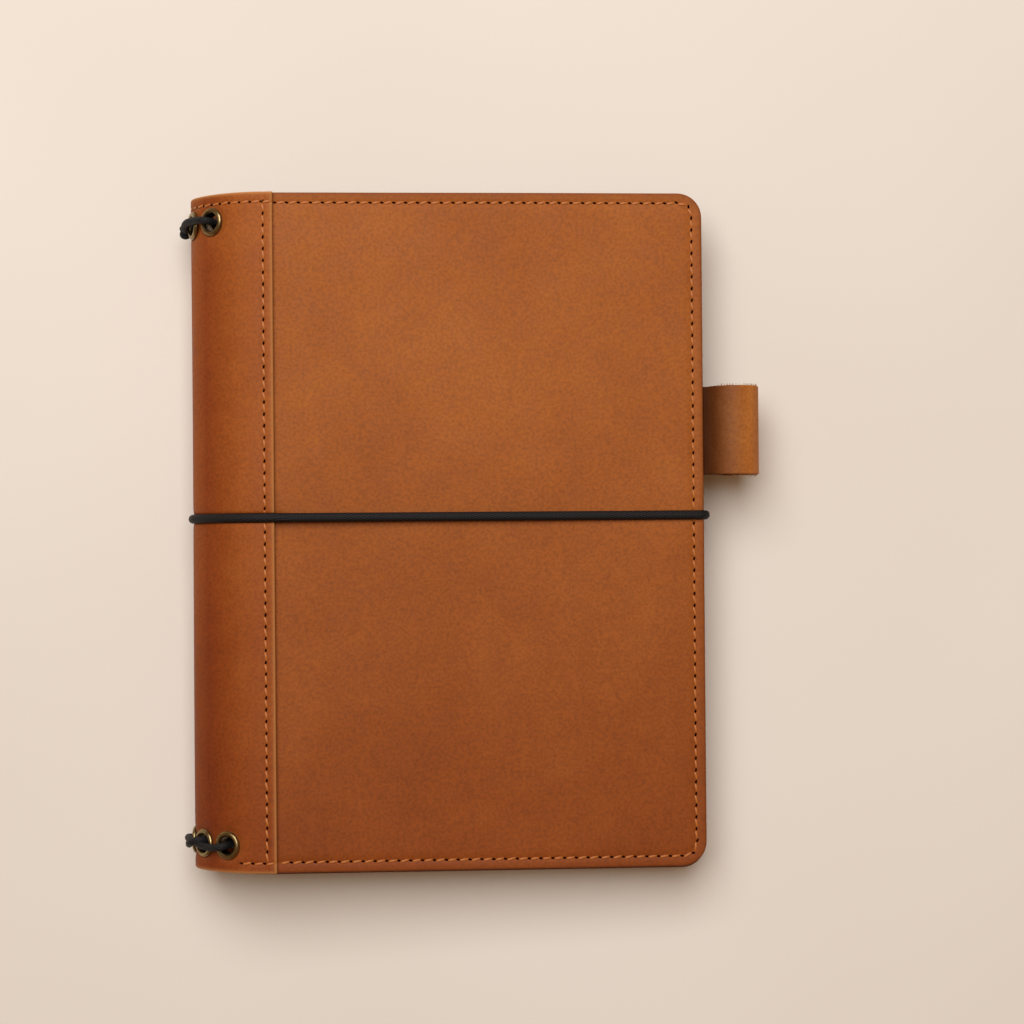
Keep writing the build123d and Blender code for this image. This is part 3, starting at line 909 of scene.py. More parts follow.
def add_tube(
    bm: bmesh.types.BMesh, points: list[Vector], radius: float, sides: int = 12, closed: bool = False
) -> None:
    """Adds a round cord along a path, with a UV map in turns round it and millimetres along it.

    Args:
        bm: the mesh that it is added to.
        points: the path in metres.
        radius: the cord's radius in metres.
        sides: corners of its section.
        closed: whether the path runs back into its start.
    """
    turn = bm.verts.layers.float.get("turn") or bm.verts.layers.float.new("turn")
    run = bm.verts.layers.float.get("run") or bm.verts.layers.float.new("run")
    uv = bm.loops.layers.uv.verify()
    old_faces = set(bm.faces)
    frames = path_frames(points, closed)
    ring = bmesh.ops.create_circle(bm, segments=sides, radius=radius)["verts"]
    for i, vert in enumerate(ring):
        vert[turn] = i / sides
    section = [vert.co.copy() for vert in ring]
    first = list(ring)
    edges = list({edge for vert in ring for edge in vert.link_edges})
    travelled = 0.0
    for i, matrix in enumerate(frames):
        if i:
            travelled += (points[i] - points[i - 1]).length / MM
            made = bmesh.ops.extrude_edge_only(bm, edges=edges)["geom"]
            edges = [item for item in made if isinstance(item, bmesh.types.BMEdge)]
            fresh = [item for item in made if isinstance(item, bmesh.types.BMVert)]
            ring = sorted(fresh, key=lambda vert: vert[turn])
        for vert, corner in zip(ring, section):
            vert.co = matrix @ corner
            vert[run] = travelled
    if closed:
        start = [e for e in {e for v in first for e in v.link_edges} if all(v in first for v in e.verts)]
        bmesh.ops.bridge_loops(bm, edges=edges + start)
    else:
        for end in (first, ring):
            bmesh.ops.contextual_create(bm, geom=end)
    whole = travelled
    for face in set(bm.faces) - old_faces:
        turns = [loop.vert[turn] for loop in face.loops]
        runs = [loop.vert[run] for loop in face.loops]
        for loop, around, along in zip(face.loops, turns, runs):
            around += 1.0 if max(turns) - around > 0.5 else 0.0
            along += whole if closed and max(runs) - along > whole / 2 else 0.0
            loop[uv].uv = (around, along)


def smooth_path(points: list[Vector], step: float, closed: bool = False) -> list[Vector]:
    """A smooth curve near these points, as points about a step apart.

    Returns:
        The curve's points.
    """
    curve = bpy.data.curves.new("route", "CURVE")
    curve.dimensions = "3D"
    spline = curve.splines.new("NURBS")
    spline.points.add(len(points) - 1)
    for knot, point in zip(spline.points, points):
        knot.co = (*point, 1.0)
    spline.order_u = 4
    spline.use_cyclic_u = closed
    spline.use_endpoint_u = not closed
    spline.resolution_u = 12
    carrier = bpy.data.objects.new("route", curve)
    mesh = bpy.data.meshes.new_from_object(carrier)
    fine = [vert.co.copy() for vert in mesh.vertices]
    bpy.data.objects.remove(carrier)
    bpy.data.meshes.remove(mesh)
    bpy.data.curves.remove(curve)
    kept = [fine[0]]
    for point in fine[1:]:
        if (point - kept[-1]).length >= step:
            kept.append(point)
    if not closed:
        kept[-1] = fine[-1]
    elif (kept[-1] - kept[0]).length < step / 2:
        kept.pop()
    return kept


def resample(points: list[tuple[float, float]], pitch: float) -> list[tuple[float, float, float]]:
    """Walks a flat path in equal steps.

    Args:
        points: the path's corners.
        pitch: the step wanted, which is adjusted so that whole steps fit.

    Returns:
        The middle of each step and the path's direction there, in radians.
    """
    lengths = [math.dist(a, b) for a, b in zip(points, points[1:])]
    total = sum(lengths)
    count = max(1, round(total / pitch))
    places = []
    for i in range(count):
        wanted = (i + 0.5) * total / count
        leg = 0
        while leg < len(lengths) - 1 and wanted > lengths[leg]:
            wanted -= lengths[leg]
            leg += 1
        (u0, v0), (u1, v1) = points[leg], points[leg + 1]
        share = wanted / lengths[leg]
        places.append((u0 + (u1 - u0) * share, v0 + (v1 - v0) * share, math.atan2(v1 - v0, u1 - u0)))
    return places


# ---- stitching ----


@dataclass
class StitchLine:
    """A line of saddle stitches with a dark awl hole at each end of a stitch."""

    pitch: float = 3.45
    length: float = 2.95
    width: float = 0.33
    thickness: float = 0.3
    slant: float = 0.19
    dip: float = 0.4
    hole_long: float = 0.66
    hole_wide: float = 0.33
    stitch_height: float = 0.12
    hole_height: float = 0.05
    seed: int = 7

    def stitch(self) -> bpy.types.Mesh:
        """One stitch as a mesh in millimetres: X along it, Z out of the leather."""
        bm = bmesh.new()
        bmesh.ops.create_uvsphere(bm, u_segments=6, v_segments=6, radius=1.0, calc_uvs=True)
        for vert in bm.verts:
            x, y, z = vert.co
            fat = max(1e-6, math.hypot(x, y)) ** -0.55
            lift = self.thickness * y * fat - self.dip * abs(z) ** 3
            vert.co = (self.length / 2 * z, self.width * x * fat, lift)
        bmesh.ops.recalc_face_normals(bm, faces=bm.faces)
        mesh = bpy.data.meshes.new("stitch")
        bm.to_mesh(mesh)
        bm.free()
        return mesh

    def hole(self) -> bpy.types.Mesh:
        """One awl hole as a shallow dish in millimetres, dark with painted shadow."""
        bm = bmesh.new()
        bmesh.ops.create_circle(bm, cap_ends=True, segments=8, radius=1.0)
        for vert in bm.verts:
            vert.co = (self.hole_long * vert.co.x, self.hole_wide * vert.co.y, 0.0)
        bmesh.ops.inset_region(bm, faces=bm.faces[:], thickness=self.hole_wide * 0.5, depth=-0.03)
        for face in bm.faces:
            face.material_index = 1
        mesh = bpy.data.meshes.new("hole")
        bm.to_mesh(mesh)
        bm.free()
        return mesh

    def sew(
        self,
        bm: bmesh.types.BMesh,
        path: list[tuple[float, float]],
        at: Callable[[float, float, float], Vector],
    ) -> None:
        """Adds a line of stitches to a mesh.

        Args:
            bm: the mesh that they are added to.
            path: the line on the leather, in millimetres.
            at: where a point of the leather and a height over it lie, in metres.
        """
        draw = random.Random(self.seed)
        stitch, hole = self.stitch(), self.hole()
        places = resample(path, self.pitch)
        for u, v, way in places:
            turned = way + self.slant + draw.uniform(-0.07, 0.07)
            stretch = draw.uniform(0.94, 1.04)
            height = self.stitch_height + draw.uniform(-0.03, 0.03)
            self.lay(bm, stitch, (u, v), turned, stretch, height, at)
        for u, v, way in places:
            back = self.pitch / 2
            centre = (u - back * math.cos(way), v - back * math.sin(way))
            self.lay(bm, hole, centre, way - self.slant, draw.uniform(0.9, 1.15), self.hole_height, at)
        for mesh in (stitch, hole):
            bpy.data.meshes.remove(mesh)

    def lay(
        self,
        bm: bmesh.types.BMesh,
        mesh: bpy.types.Mesh,
        centre: tuple[float, float],
        way: float,
        stretch: float,
        height: float,
        at: Callable[[float, float, float], Vector],
    ) -> None:
        """Copies one small mesh on to the leather, bent to its curve."""
        start = len(bm.verts)
        bm.from_mesh(mesh)
        bm.verts.ensure_lookup_table()
        cos, sin = math.cos(way), math.sin(way)
        for vert in bm.verts[start:]:
            x, y, z = vert.co
            x *= stretch
            vert.co = at(centre[0] + x * cos - y * sin, centre[1] + x * sin + y * cos, height + z)


# ---- the covers ----

EDGE_STEPS = (0.12, 0.3, 0.55, 0.9, 1.5, 2.2)
STITCH_STEPS = (-0.8, -0.4, 0.0, 0.4, 0.8)
BAND_STEPS = (-3.2, -2.2, -1.6, -1.38, -1.15, -0.8, -0.4, 0.0, 0.4, 0.8, 1.15, 1.38, 1.6, 2.2, 3.2)


def fine_lines(size: float, stitch: float, band_y: float) -> list[float]:
    """Marks along the spine: both ends' edges, their stitch lines and the closure's dent."""
    marks = [band_y + step for step in BAND_STEPS]
    for end in (1, -1):
        marks += [end * (size / 2 - step) for step in EDGE_STEPS]
        marks += [end * (size / 2 - stitch + step) for step in STITCH_STEPS]
    return marks


@dataclass
class CoverSheet:
    """One flat sheet of a cover, from a line near the spine to the rounded fore-edge."""

    name: str
    section: CoverSection
    route: ClosureRoute
    side: Side
    start: float
    depth: float
    thickness: float
    inset: float = 0.0
    lip: float = 0.0
    lip_share: float = 0.1
    notch_fade: float = 2.5
    swell: float = 0.1
    stitch_inset: float = 3.0
    round_out: float = 0.5
    round_in: float = 0.35
    shown: str = "outside"
    seed: float = 0.4

    def plan(self, x: float, y: float) -> tuple[float, float]:
        """Where a point of the cut sheet lies in the plan: lip, inset and cord notch added."""
        end = self.section.width
        half = self.section.height / 2
        notch = max(0.0, self.route.radius + self.route.room - abs(y - self.route.y))
        notch = min(notch * 2.2, self.route.radius - self.route.edge_proud)
        x -= notch * math.exp(-max(0.0, end - x) / self.notch_fade)
        x = self.start + (x - self.start) * (end - self.inset - self.start) / (end - self.start)
        if y < 0:
            beyond = (-y / half - (1.0 - self.lip_share)) / self.lip_share
            y -= self.lip * min(1.0, max(0.0, beyond))
        return x, y * (half - self.inset) / half

    def inner_edge(self, x: float, y: float) -> float:
        """Distance in from the sheet's own outline, its spine edge included."""
        return min(self.section.edge_distance(x, y), x - self.start)

    def relief(self, x: float, y: float) -> float:
        """How far the outer side stands out at a point of the cut sheet."""
        away = self.section.edge_distance(x, y) - self.stitch_inset
        rise = waves(x, y, self.swell, self.seed) - crown(self.inner_edge(x, y), self.round_out)
        if self.shown == "outside":
            rise -= channel(away)
            rise -= self.route.dent(self.route.height(self.section, self.side, x), y)
        return rise

    def inner_relief(self, x: float, y: float) -> float:
        """How far the inner side stands in at a point of the cut sheet."""
        rise = -crown(self.inner_edge(x, y), self.round_in)
        if self.shown == "inside":
            away = self.section.edge_distance(x, y) - self.stitch_inset
            rise += waves(x, y, self.swell, self.seed) - channel(away, 0.2)
        return rise

    def surface(self, x: float, y: float, depth: float) -> Vector:
        """A point of the cut sheet this deep in the leather, in metres."""
        plan_x, plan_y = self.plan(x, y)
        station = self.section.station(self.side, plan_x, depth)
        return self.section.point(station, plan_y, depth)

    def outside(self, x: float, y: float, height: float = 0.0) -> Vector:
        """A point this high over the sheet's outer side, in metres."""
        return self.surface(x, y, self.depth - self.relief(x, y) - height)

    def inside(self, x: float, y: float, height: float = 0.0) -> Vector:
        """A point this high over the sheet's inner side, in metres."""
        return self.surface(x, y, self.depth + self.thickness + self.inner_relief(x, y) + height)

    def wear_and_shade(self, x: float, y: float) -> float:
        """How rubbed and darkened the sheet is: along its cut edges."""
        return 0.75 * math.exp(-self.inner_edge(x, y) / 0.9)

    def build(
        self, finish: bpy.types.Material, edge: bpy.types.Material, slot: str, replaced: tuple[str, ...]
    ) -> None:
        """Makes the sheet, riding on its cover.

        Args:
            finish: the material of its two sides.
            edge: the material of its cut edge.
            slot: a material slot's name; not used.
            replaced: the frame's nodes that it stands for.
        """
        end = self.section.width
        across = [end - step for step in EDGE_STEPS] + [self.start + step for step in EDGE_STEPS]
        across += [end - self.stitch_inset + step for step in STITCH_STEPS]
        across += [end - self.section.corner_radius, self.section.shoulder_reach, self.section.strip_reach]
        half = self.section.height / 2
        along = fine_lines(self.section.height, self.stitch_inset, self.route.y)
        along += [half - self.section.corner_radius, self.section.corner_radius - half]
        rounded = self.section.round_corner
        bm = leather_shell(
            grid_lines(self.start, end, 3.0, across), grid_lines(-half, half, 3.0, along),
            lambda u, v: self.outside(*rounded(u, v)),
            lambda u, v: self.inside(*rounded(u, v)),
            lambda u, v: self.wear_and_shade(*rounded(u, v)),
        )
        body = Body.FRONT if self.side is Side.FRONT else Body.BACK
        finish_piece(self.name, bm, [finish, edge], body, replaced)

    def stitch_path(self, start: float) -> list[tuple[float, float]]:
        """The stitch line along the head, the fore-edge and the foot, from start and back."""
        half = self.section.height / 2 - self.stitch_inset
        far = self.section.width - self.stitch_inset
        radius = self.section.corner_radius - self.stitch_inset
        path = [(start, half)]
        for step in range(9):
            path.append(polar((far - radius, half - radius), radius, math.pi / 2 * (1 - step / 8)))
        for step in range(9):
            path.append(polar((far - radius, radius - half), radius, -math.pi / 2 * step / 8))
        return [*path, (start, -half)]


@dataclass
class SpineWrap:
    """The strip that wraps the spine and laps both covers, with its lining and eyelet holes."""

    section: CoverSection
    route: ClosureRoute
    eyelets: EyeletRows
    seam_inset: float = 2.8
    end_inset: float = 3.0
    foot_start: float = 15.4
    head_start: float = 1.2
    swell: float = 0.07
    round_out: float = 0.6
    round_in: float = 0.3
    lining_start: float = 13.4
    lining_end: float = 21.6
    eyelet_reach: float = 5.2
    eyelet_room: float = 0.25
    eyelet_pull: float = 0.42
    eyelet_pull_width: float = 0.9
    bend_start: tuple[float, float] = (14.0, 27.6)
    bend_end: tuple[float, float] = (22.0, 31.6)

    @property
    def front_edge(self) -> float:
        """Station of the strip's cut edge on the front cover."""
        return self.section.station(Side.FRONT, self.section.strip_reach)

    @property
    def back_edge(self) -> float:
        """Station of the strip's cut edge on the back cover."""
        return self.section.station(Side.BACK, self.section.strip_reach)

    def edge(self, station: float, y: float) -> float:
        """Distance in from the strip's outline."""
        ends = self.section.height / 2 - abs(y)
        return min(ends, self.front_edge - station, station - self.back_edge)

    def stitched(self, station: float, y: float) -> float:
        """How far the strip's stitch lines pull it in at a point."""
        half = self.section.height / 2 - self.end_inset
        pull = 0.0
        for seam in (self.front_edge - self.seam_inset, self.back_edge + self.seam_inset):
            pull = max(pull, channel(station - seam))
        first = self.head_start if y > 0 else self.section.station(Side.FRONT, self.foot_start)
        if station > first or station < self.section.station(Side.BACK, self.lining_start):
            pull = max(pull, channel(abs(y) - half))
        return pull

    def relief(self, station: float, y: float) -> float:
        """How far the strip's outer side stands out at a point."""
        near = self.eyelets.nearest(self.section, station, y)
        rise = waves(station, y, self.swell, 1.7) - crown(self.edge(station, y), self.round_out)
        rise -= self.stitched(station, y) + self.route.dent(0.0, y)
        if near < self.eyelets.flange + 0.05:
            return rise - self.eyelets.seat
        away = (near - self.eyelets.flange) / self.eyelet_pull_width
        return rise - self.eyelet_pull * math.exp(-(away**2))

    def outside(self, station: float, y: float, height: float = 0.0) -> Vector:
        """A point this high over the strip's outer side, in metres."""
        return self.section.point(station, y, -self.relief(station, y) - height)

    def inside(self, station: float, y: float) -> Vector:
        """A point of the strip's inner side, in metres."""
        depth = self.section.strip_leather - crown(self.edge(station, y), self.round_in)
        return self.section.point(station, y, depth)

    def wear_and_shade(self, station: float, y: float) -> float:
        """How rubbed the strip is: at its cut edges and round the eyelets."""
        near = self.eyelets.nearest(self.section, station, y) - self.eyelets.flange
        rubbed = 0.9 * math.exp(-((self.edge(station, y) / 0.62) ** 2))
        return max(rubbed, 0.12 * math.exp(-max(0.0, near) / 0.8))

    def lines_along(self) -> list[float]:
        """Grid lines along the spine, close together at the eyelets."""
        half = self.section.height / 2
        marks = fine_lines(self.section.height, self.end_inset, self.route.y)
        for end in (1, -1):
            row = self.eyelets.y(self.section, end)
            marks += [row - self.eyelet_reach + 0.4 * step for step in range(27)]
        return grid_lines(-half, half, 2.6, marks)

    def lines_across(self, low: float, high: float) -> list[float]:
        """Grid lines round the spine, close together at the eyelets, seams and cut edges."""
        marks = [self.front_edge - step for step in EDGE_STEPS]
        marks += [self.back_edge + step for step in EDGE_STEPS]
        for step in STITCH_STEPS:
            marks += [self.front_edge - self.seam_inset + step, self.back_edge + self.seam_inset + step]
        first = self.eyelets.station(1, self.eyelets.count - 1) - self.eyelet_reach
        last = self.eyelets.station(-1, 0) + self.eyelet_reach
        count = round((last - first) / 0.5)
        marks += [first + (last - first) * step / count for step in range(count + 1)]
        return grid_lines(low, high, 1.6, marks)

    def bend(self, piece: bpy.types.Object) -> None:
        """Bakes a piece's placement into its mesh; the line where the front cover opens, between the spine
        and the front, is worked out but not used.
        """
        (x0, z0), (x1, z1) = self.bend_start, self.bend_end
        self.section.world(x0, 0, z0)
        self.section.world(x1, 0, z1)
        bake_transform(piece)

    def clear_of_eyelets(self, station: float, y: float) -> bool:
        """Whether a point lies outside the holes that the eyelets pass through."""
        hole = self.eyelets.hole + self.eyelets.wall
        return self.eyelets.nearest(self.section, station, y) > hole + self.eyelet_room

    def build_strip(self, finishes: Finishes) -> None:
        """Makes the strip, in one piece from cover to cover."""
        bm = leather_shell(
            self.lines_across(self.back_edge, self.front_edge), self.lines_along(),
            self.outside, self.inside, self.wear_and_shade, keep=self.clear_of_eyelets,
        )
        replaced = ("spine_strip", "front_spine_flap")
        piece = finish_piece(
            "wrapped_spine_strip", bm, [finishes.strip, finishes.edge], None, replaced
        )
        self.bend(piece)

    def build_lining(self, finishes: Finishes) -> None:
        """Makes the spine's lining, which follows the strip round the spine."""
        outer = self.section.strip_leather + 0.03
        inner = self.section.strip_leather + self.section.lining_leather
        low = self.section.station(Side.BACK, self.lining_start - 0.6)
        high = self.section.station(Side.FRONT, self.lining_end, outer)
        bm = leather_shell(
            self.lines_across(low, high), self.lines_along(),
            lambda u, v: self.section.point(u, v, outer),
            lambda u, v: self.section.point(u, v, inner),
            lambda u, v: 0.3, keep=self.clear_of_eyelets,
        )
        materials = [finishes.lining, finishes.edge]
        piece = finish_piece(
            "bent_spine_lining", bm, materials, None, ("spine_lining",)
        )
        self.bend(piece)

    def build_stitching(self, finishes: Finishes) -> None:
        """Sews the strip: both seams, the line over the head and the short lines at the foot."""
        half = self.section.height / 2 - self.end_inset
        materials = [finishes.thread, finishes.hole]
        for side, edge, inward in ((Side.FRONT, self.front_edge, -1), (Side.BACK, self.back_edge, 1)):
            seam = edge + inward * self.seam_inset
            bm = bmesh.new()
            line = StitchLine(seed=11)
            line.sew(bm, [(seam, half), (seam, -half)], self.outside)
            if side is Side.BACK:
                start = self.section.station(side, self.lining_start)
                for end in (half, -half):
                    line.sew(bm, [(start, end), (edge, end)], self.outside)
            body = Body.FRONT if side is Side.FRONT else Body.BACK
            name = "front" if side is Side.FRONT else "back"
            replaced = (f"{name}_seam_stitching",)
            finish_piece(f"{name}_seam_stitches", bm, materials, body, replaced)
        bm = bmesh.new()
        line = StitchLine(seed=12)
        line.sew(bm, [(self.head_start, half), (self.front_edge, half)], self.outside)
        foot = self.section.station(Side.FRONT, self.foot_start)
        line.sew(bm, [(foot, -half), (self.front_edge, -half)], self.outside)
        piece = finish_piece("spine_end_stitches", bm, materials, None, ("spine_stitching",))
        self.bend(piece)


@dataclass
class Covers:
    """Both covers: panels, linings and pockets, sewn together along their edges."""

    section: CoverSection
    route: ClosureRoute
    finishes: Finishes
    panel_start: float = 22.4
    lining_start: float = 19.2
    back_start: float = 13.0
    pocket_start: float = 48.0
    pocket_inset: float = 1.5
    foot_lip: float = 0.6

    def sheet(
        self, name: str, side: Side, start: float, depth: float, thickness: float, **more
    ) -> CoverSheet:
        """Describes one sheet of a cover."""
        return CoverSheet(name, self.section, self.route, side, start, depth, thickness, **more)

    def build_side(self, side: Side) -> None:
        """Makes one cover's sheets and its stitches outside and inside."""
        front = side is Side.FRONT
        label = "front" if front else "back"
        section = self.section
        swell = 0.2 if front else 0.05
        panel = self.sheet(
            f"{label}_outer_panel", side, self.panel_start if front else self.back_start,
            section.strip_leather, section.panel_leather, swell=swell, seed=0.4 if front else 2.2,
        )
        lining = self.sheet(
            f"{label}_lining_sheet", side, self.lining_start if front else self.back_start,
            section.lining_depth, section.lining_leather, lip=self.foot_lip if front else 0.0,
            swell=0.05, shown="inside", round_out=0.2, round_in=0.25, seed=1.1,
        )
        pocket = self.sheet(
            f"{label}_slip_pocket", side, self.pocket_start, section.pocket_depth,
            section.pocket_leather, inset=self.pocket_inset, swell=0.08, shown="inside",
            stitch_inset=1.7, round_out=0.2, round_in=0.3, seed=2.9,
        )
        finishes = self.finishes
        panel.build(finishes.leather, finishes.edge, "leather", (f"{label}_panel",))
        lining.build(finishes.lining, finishes.edge, "lining_leather", (f"{label}_lining",))
        pocket.build(finishes.lining, finishes.edge, "lining_leather", (f"{label}_pocket",))
        body = Body.FRONT if front else Body.BACK
        threads = [finishes.thread, finishes.hole]
        bm = bmesh.new()
        StitchLine(seed=3).sew(bm, panel.stitch_path(section.strip_reach + 0.5), panel.outside)
        finish_piece(f"{label}_edge_stitches", bm, threads, body, (f"{label}_edge_stitching",))
        bm = bmesh.new()
        StitchLine(seed=5).sew(bm, pocket.stitch_path(self.pocket_start + 1.5), pocket.inside)
        finish_piece(f"{label}_pocket_stitches", bm, threads, body)


# ---- cords and metal ----


def arc_points(centre: tuple[float, float], radius: float, start: float, end: float, count: int):
    """Points of an arc in the section, both ends included, angles in radians."""
    return [polar(centre, radius, start + (end - start) * i / count) for i in range(count + 1)]


@dataclass
class ClosureElastic:
    """The round elastic that holds the cover shut, right round it."""

    section: CoverSection
    route: ClosureRoute

    def path(self) -> list[Vector]:
        """The cord's closed route in metres, in arcs and evenly divided runs."""
        section, bend = self.section, self.route.corner
        side = section.width + self.route.edge_proud - bend
        high = (side, section.bottom + section.fore_thickness + self.route.edge_proud - bend)
        low = (side, section.bottom + bend)
        dx, dz = high[0] - section.shoulder_centre[0], high[1] - section.shoulder_centre[1]
        touch = math.atan2(dz, dx) + math.acos((section.shoulder_radius - bend) / math.hypot(dx, dz))
        ends = [
            arc_points(section.shoulder_centre, section.shoulder_radius, touch, section.blend_angle, 14),
            arc_points(section.nose_centre, section.nose_radius, section.blend_angle, 1.5 * math.pi, 20),
            arc_points(low, bend, -math.pi / 2, 0.0, 6),
            arc_points(high, bend, 0.0, touch, 6),
        ]
        flat = []
        for i, arc in enumerate(ends):
            flat += arc[1:] if i == 1 else arc
            target = ends[(i + 1) % len(ends)][0]
            gap = math.dist(arc[-1], target)
            count = int(gap // 5.0)
            for step in range(1, count):
                share = step / count
                flat.append(tuple(a + (b - a) * share for a, b in zip(arc[-1], target)))
        return [self.section.world(x, self.route.y, z) for x, z in flat]

    def build(self, finishes: Finishes) -> None:
        """Makes the cord."""
        bm = bmesh.new()
        add_tube(bm, self.path(), self.route.radius * MM, sides=16, closed=True)
        bmesh.ops.recalc_face_normals(bm, faces=bm.faces)
        finish_piece(
            "closure_cord", bm, [finishes.closure], Body.CORD, ("closure_elastic",)
        )


@dataclass
class Eyelets:
    """Six domed eyelets, each rolled over inside the spine."""

    section: CoverSection
    rows: EyeletRows

    def profile(self) -> list[tuple[float, float]]:
        """The eyelet's half section: radius and height over the leather."""
        rows = self.rows
        inner = -(self.section.strip_leather + self.section.lining_leather)
        mid = (rows.hole + rows.flange) / 2
        half = (rows.flange - rows.hole) / 2
        dome = [
            (mid - half * math.cos(math.pi * i / 10), -0.15 + (rows.rise + 0.15) * math.sin(math.pi * i / 10))
            for i in range(11)
        ]
        under = [(rows.flange - 0.12, -rows.seat + 0.05), (rows.hole + rows.wall, -rows.seat)]
        roll_out = [(rows.hole + rows.wall, inner + 0.2), (rows.flange - 0.6, inner + 0.1)]
        roll_in = [(rows.flange - 0.5, inner - 0.15), (rows.hole + 0.3, inner - 0.3), (rows.hole, inner)]
        return [*dome, *under, *roll_out, *roll_in, (rows.hole, -0.6)]

    def place(self, end: int, index: int) -> Matrix:
        """The matrix that stands an eyelet on the spine."""
        station = self.rows.station(end, index)
        _, _, angle = self.section.place(station)
        normal = Vector((math.cos(angle), 0.0, math.sin(angle)))
        along = Vector((0.0, 1.0, 0.0))
        matrix = Matrix((along, normal.cross(along), normal)).transposed().to_4x4()
        matrix.translation = self.section.point(station, self.rows.y(self.section, end))
        return matrix

    def build(self, finishes: Finishes) -> None:
        """Makes the six eyelets."""
        points = self.profile()
        for end, name in ((1, "head"), (-1, "foot")):
            for index in range(self.rows.count):
                bm = bmesh.new()
                wear_and_shade_layer = bm.verts.layers.float.new("wear_and_shade")
                ring = [bm.verts.new((radius * MM, 0.0, height * MM)) for radius, height in points]
                for vert, (radius, height) in zip(ring, points):
                    vert[wear_and_shade_layer] = 0.32 * max(0.0, height / self.rows.rise) ** 2
                    vert[wear_and_shade_layer] += 0.22 if radius > self.rows.flange - 0.3 else 0.0
                pairs = zip(ring, ring[1:] + ring[:1])
                edges = [bm.edges.new(pair) for pair in pairs]
                bmesh.ops.spin(
                    bm, geom=ring + edges, cent=(0, 0, 0), axis=(0, 0, 1), dvec=(0, 0, 0),
                    angle=TAU, steps=48, use_merge=True, use_duplicate=False,
                )
                bmesh.ops.remove_doubles(bm, verts=bm.verts, dist=0.001 * MM)
                bmesh.ops.recalc_face_normals(bm, faces=bm.faces)
                bmesh.ops.transform(bm, matrix=self.place(end, index), verts=bm.verts)
                node = f"eyelet_{name}_{index + 1}"
                finish_piece(f"domed_{node}", bm, [finishes.brass], Body.BACK, (node,))


HEAD_LACE = (
    (0, 0.0, -2.5, 0.0), (0, 0.2, 0.6, 0.1), (0, -0.3, 2.4, 0.3), (0, -3.2, 2.3, 0.6), (1, 1.6, 2.3, 0.8),
    (1, -1.0, 2.2, 0.3), (1, -2.8, 2.0, -0.8), (2, 1.4, 1.6, -0.9), (2, 0.0, 0.2, 0.0), (2, 0.0, -2.0, 0.0),
)
FOOT_LACE = (
    (0, 0.0, -2.5, 0.0), (0, 0.3, 0.6, 0.2), (0, -0.6, 2.5, -0.3), (0, -4.2, 2.0, -0.9), (1, 1.0, 2.0, -0.5),
    (1, -2.6, 2.0, 0.7), (2, 3.2, 2.1, 0.6), (2, 0.4, 2.4, 0.8), (2, -1.6, 1.7, 0.3), (2, -1.2, -1.8, 0.0),
)
FOOT_TUCK = (
    (1, 0.3, -2.5, 0.9), (1, 0.4, 0.8, 1.0), (1, -0.6, 2.4, 1.1), (1, -2.4, 3.1, 0.2), (1, -4.4, 2.4, -0.8),
    (2, 2.8, 1.8, -1.0), (2, 0.2, 2.2, -0.8), (2, -1.0, 1.2, -0.5), (2, -0.2, -1.6, 0.0),
)


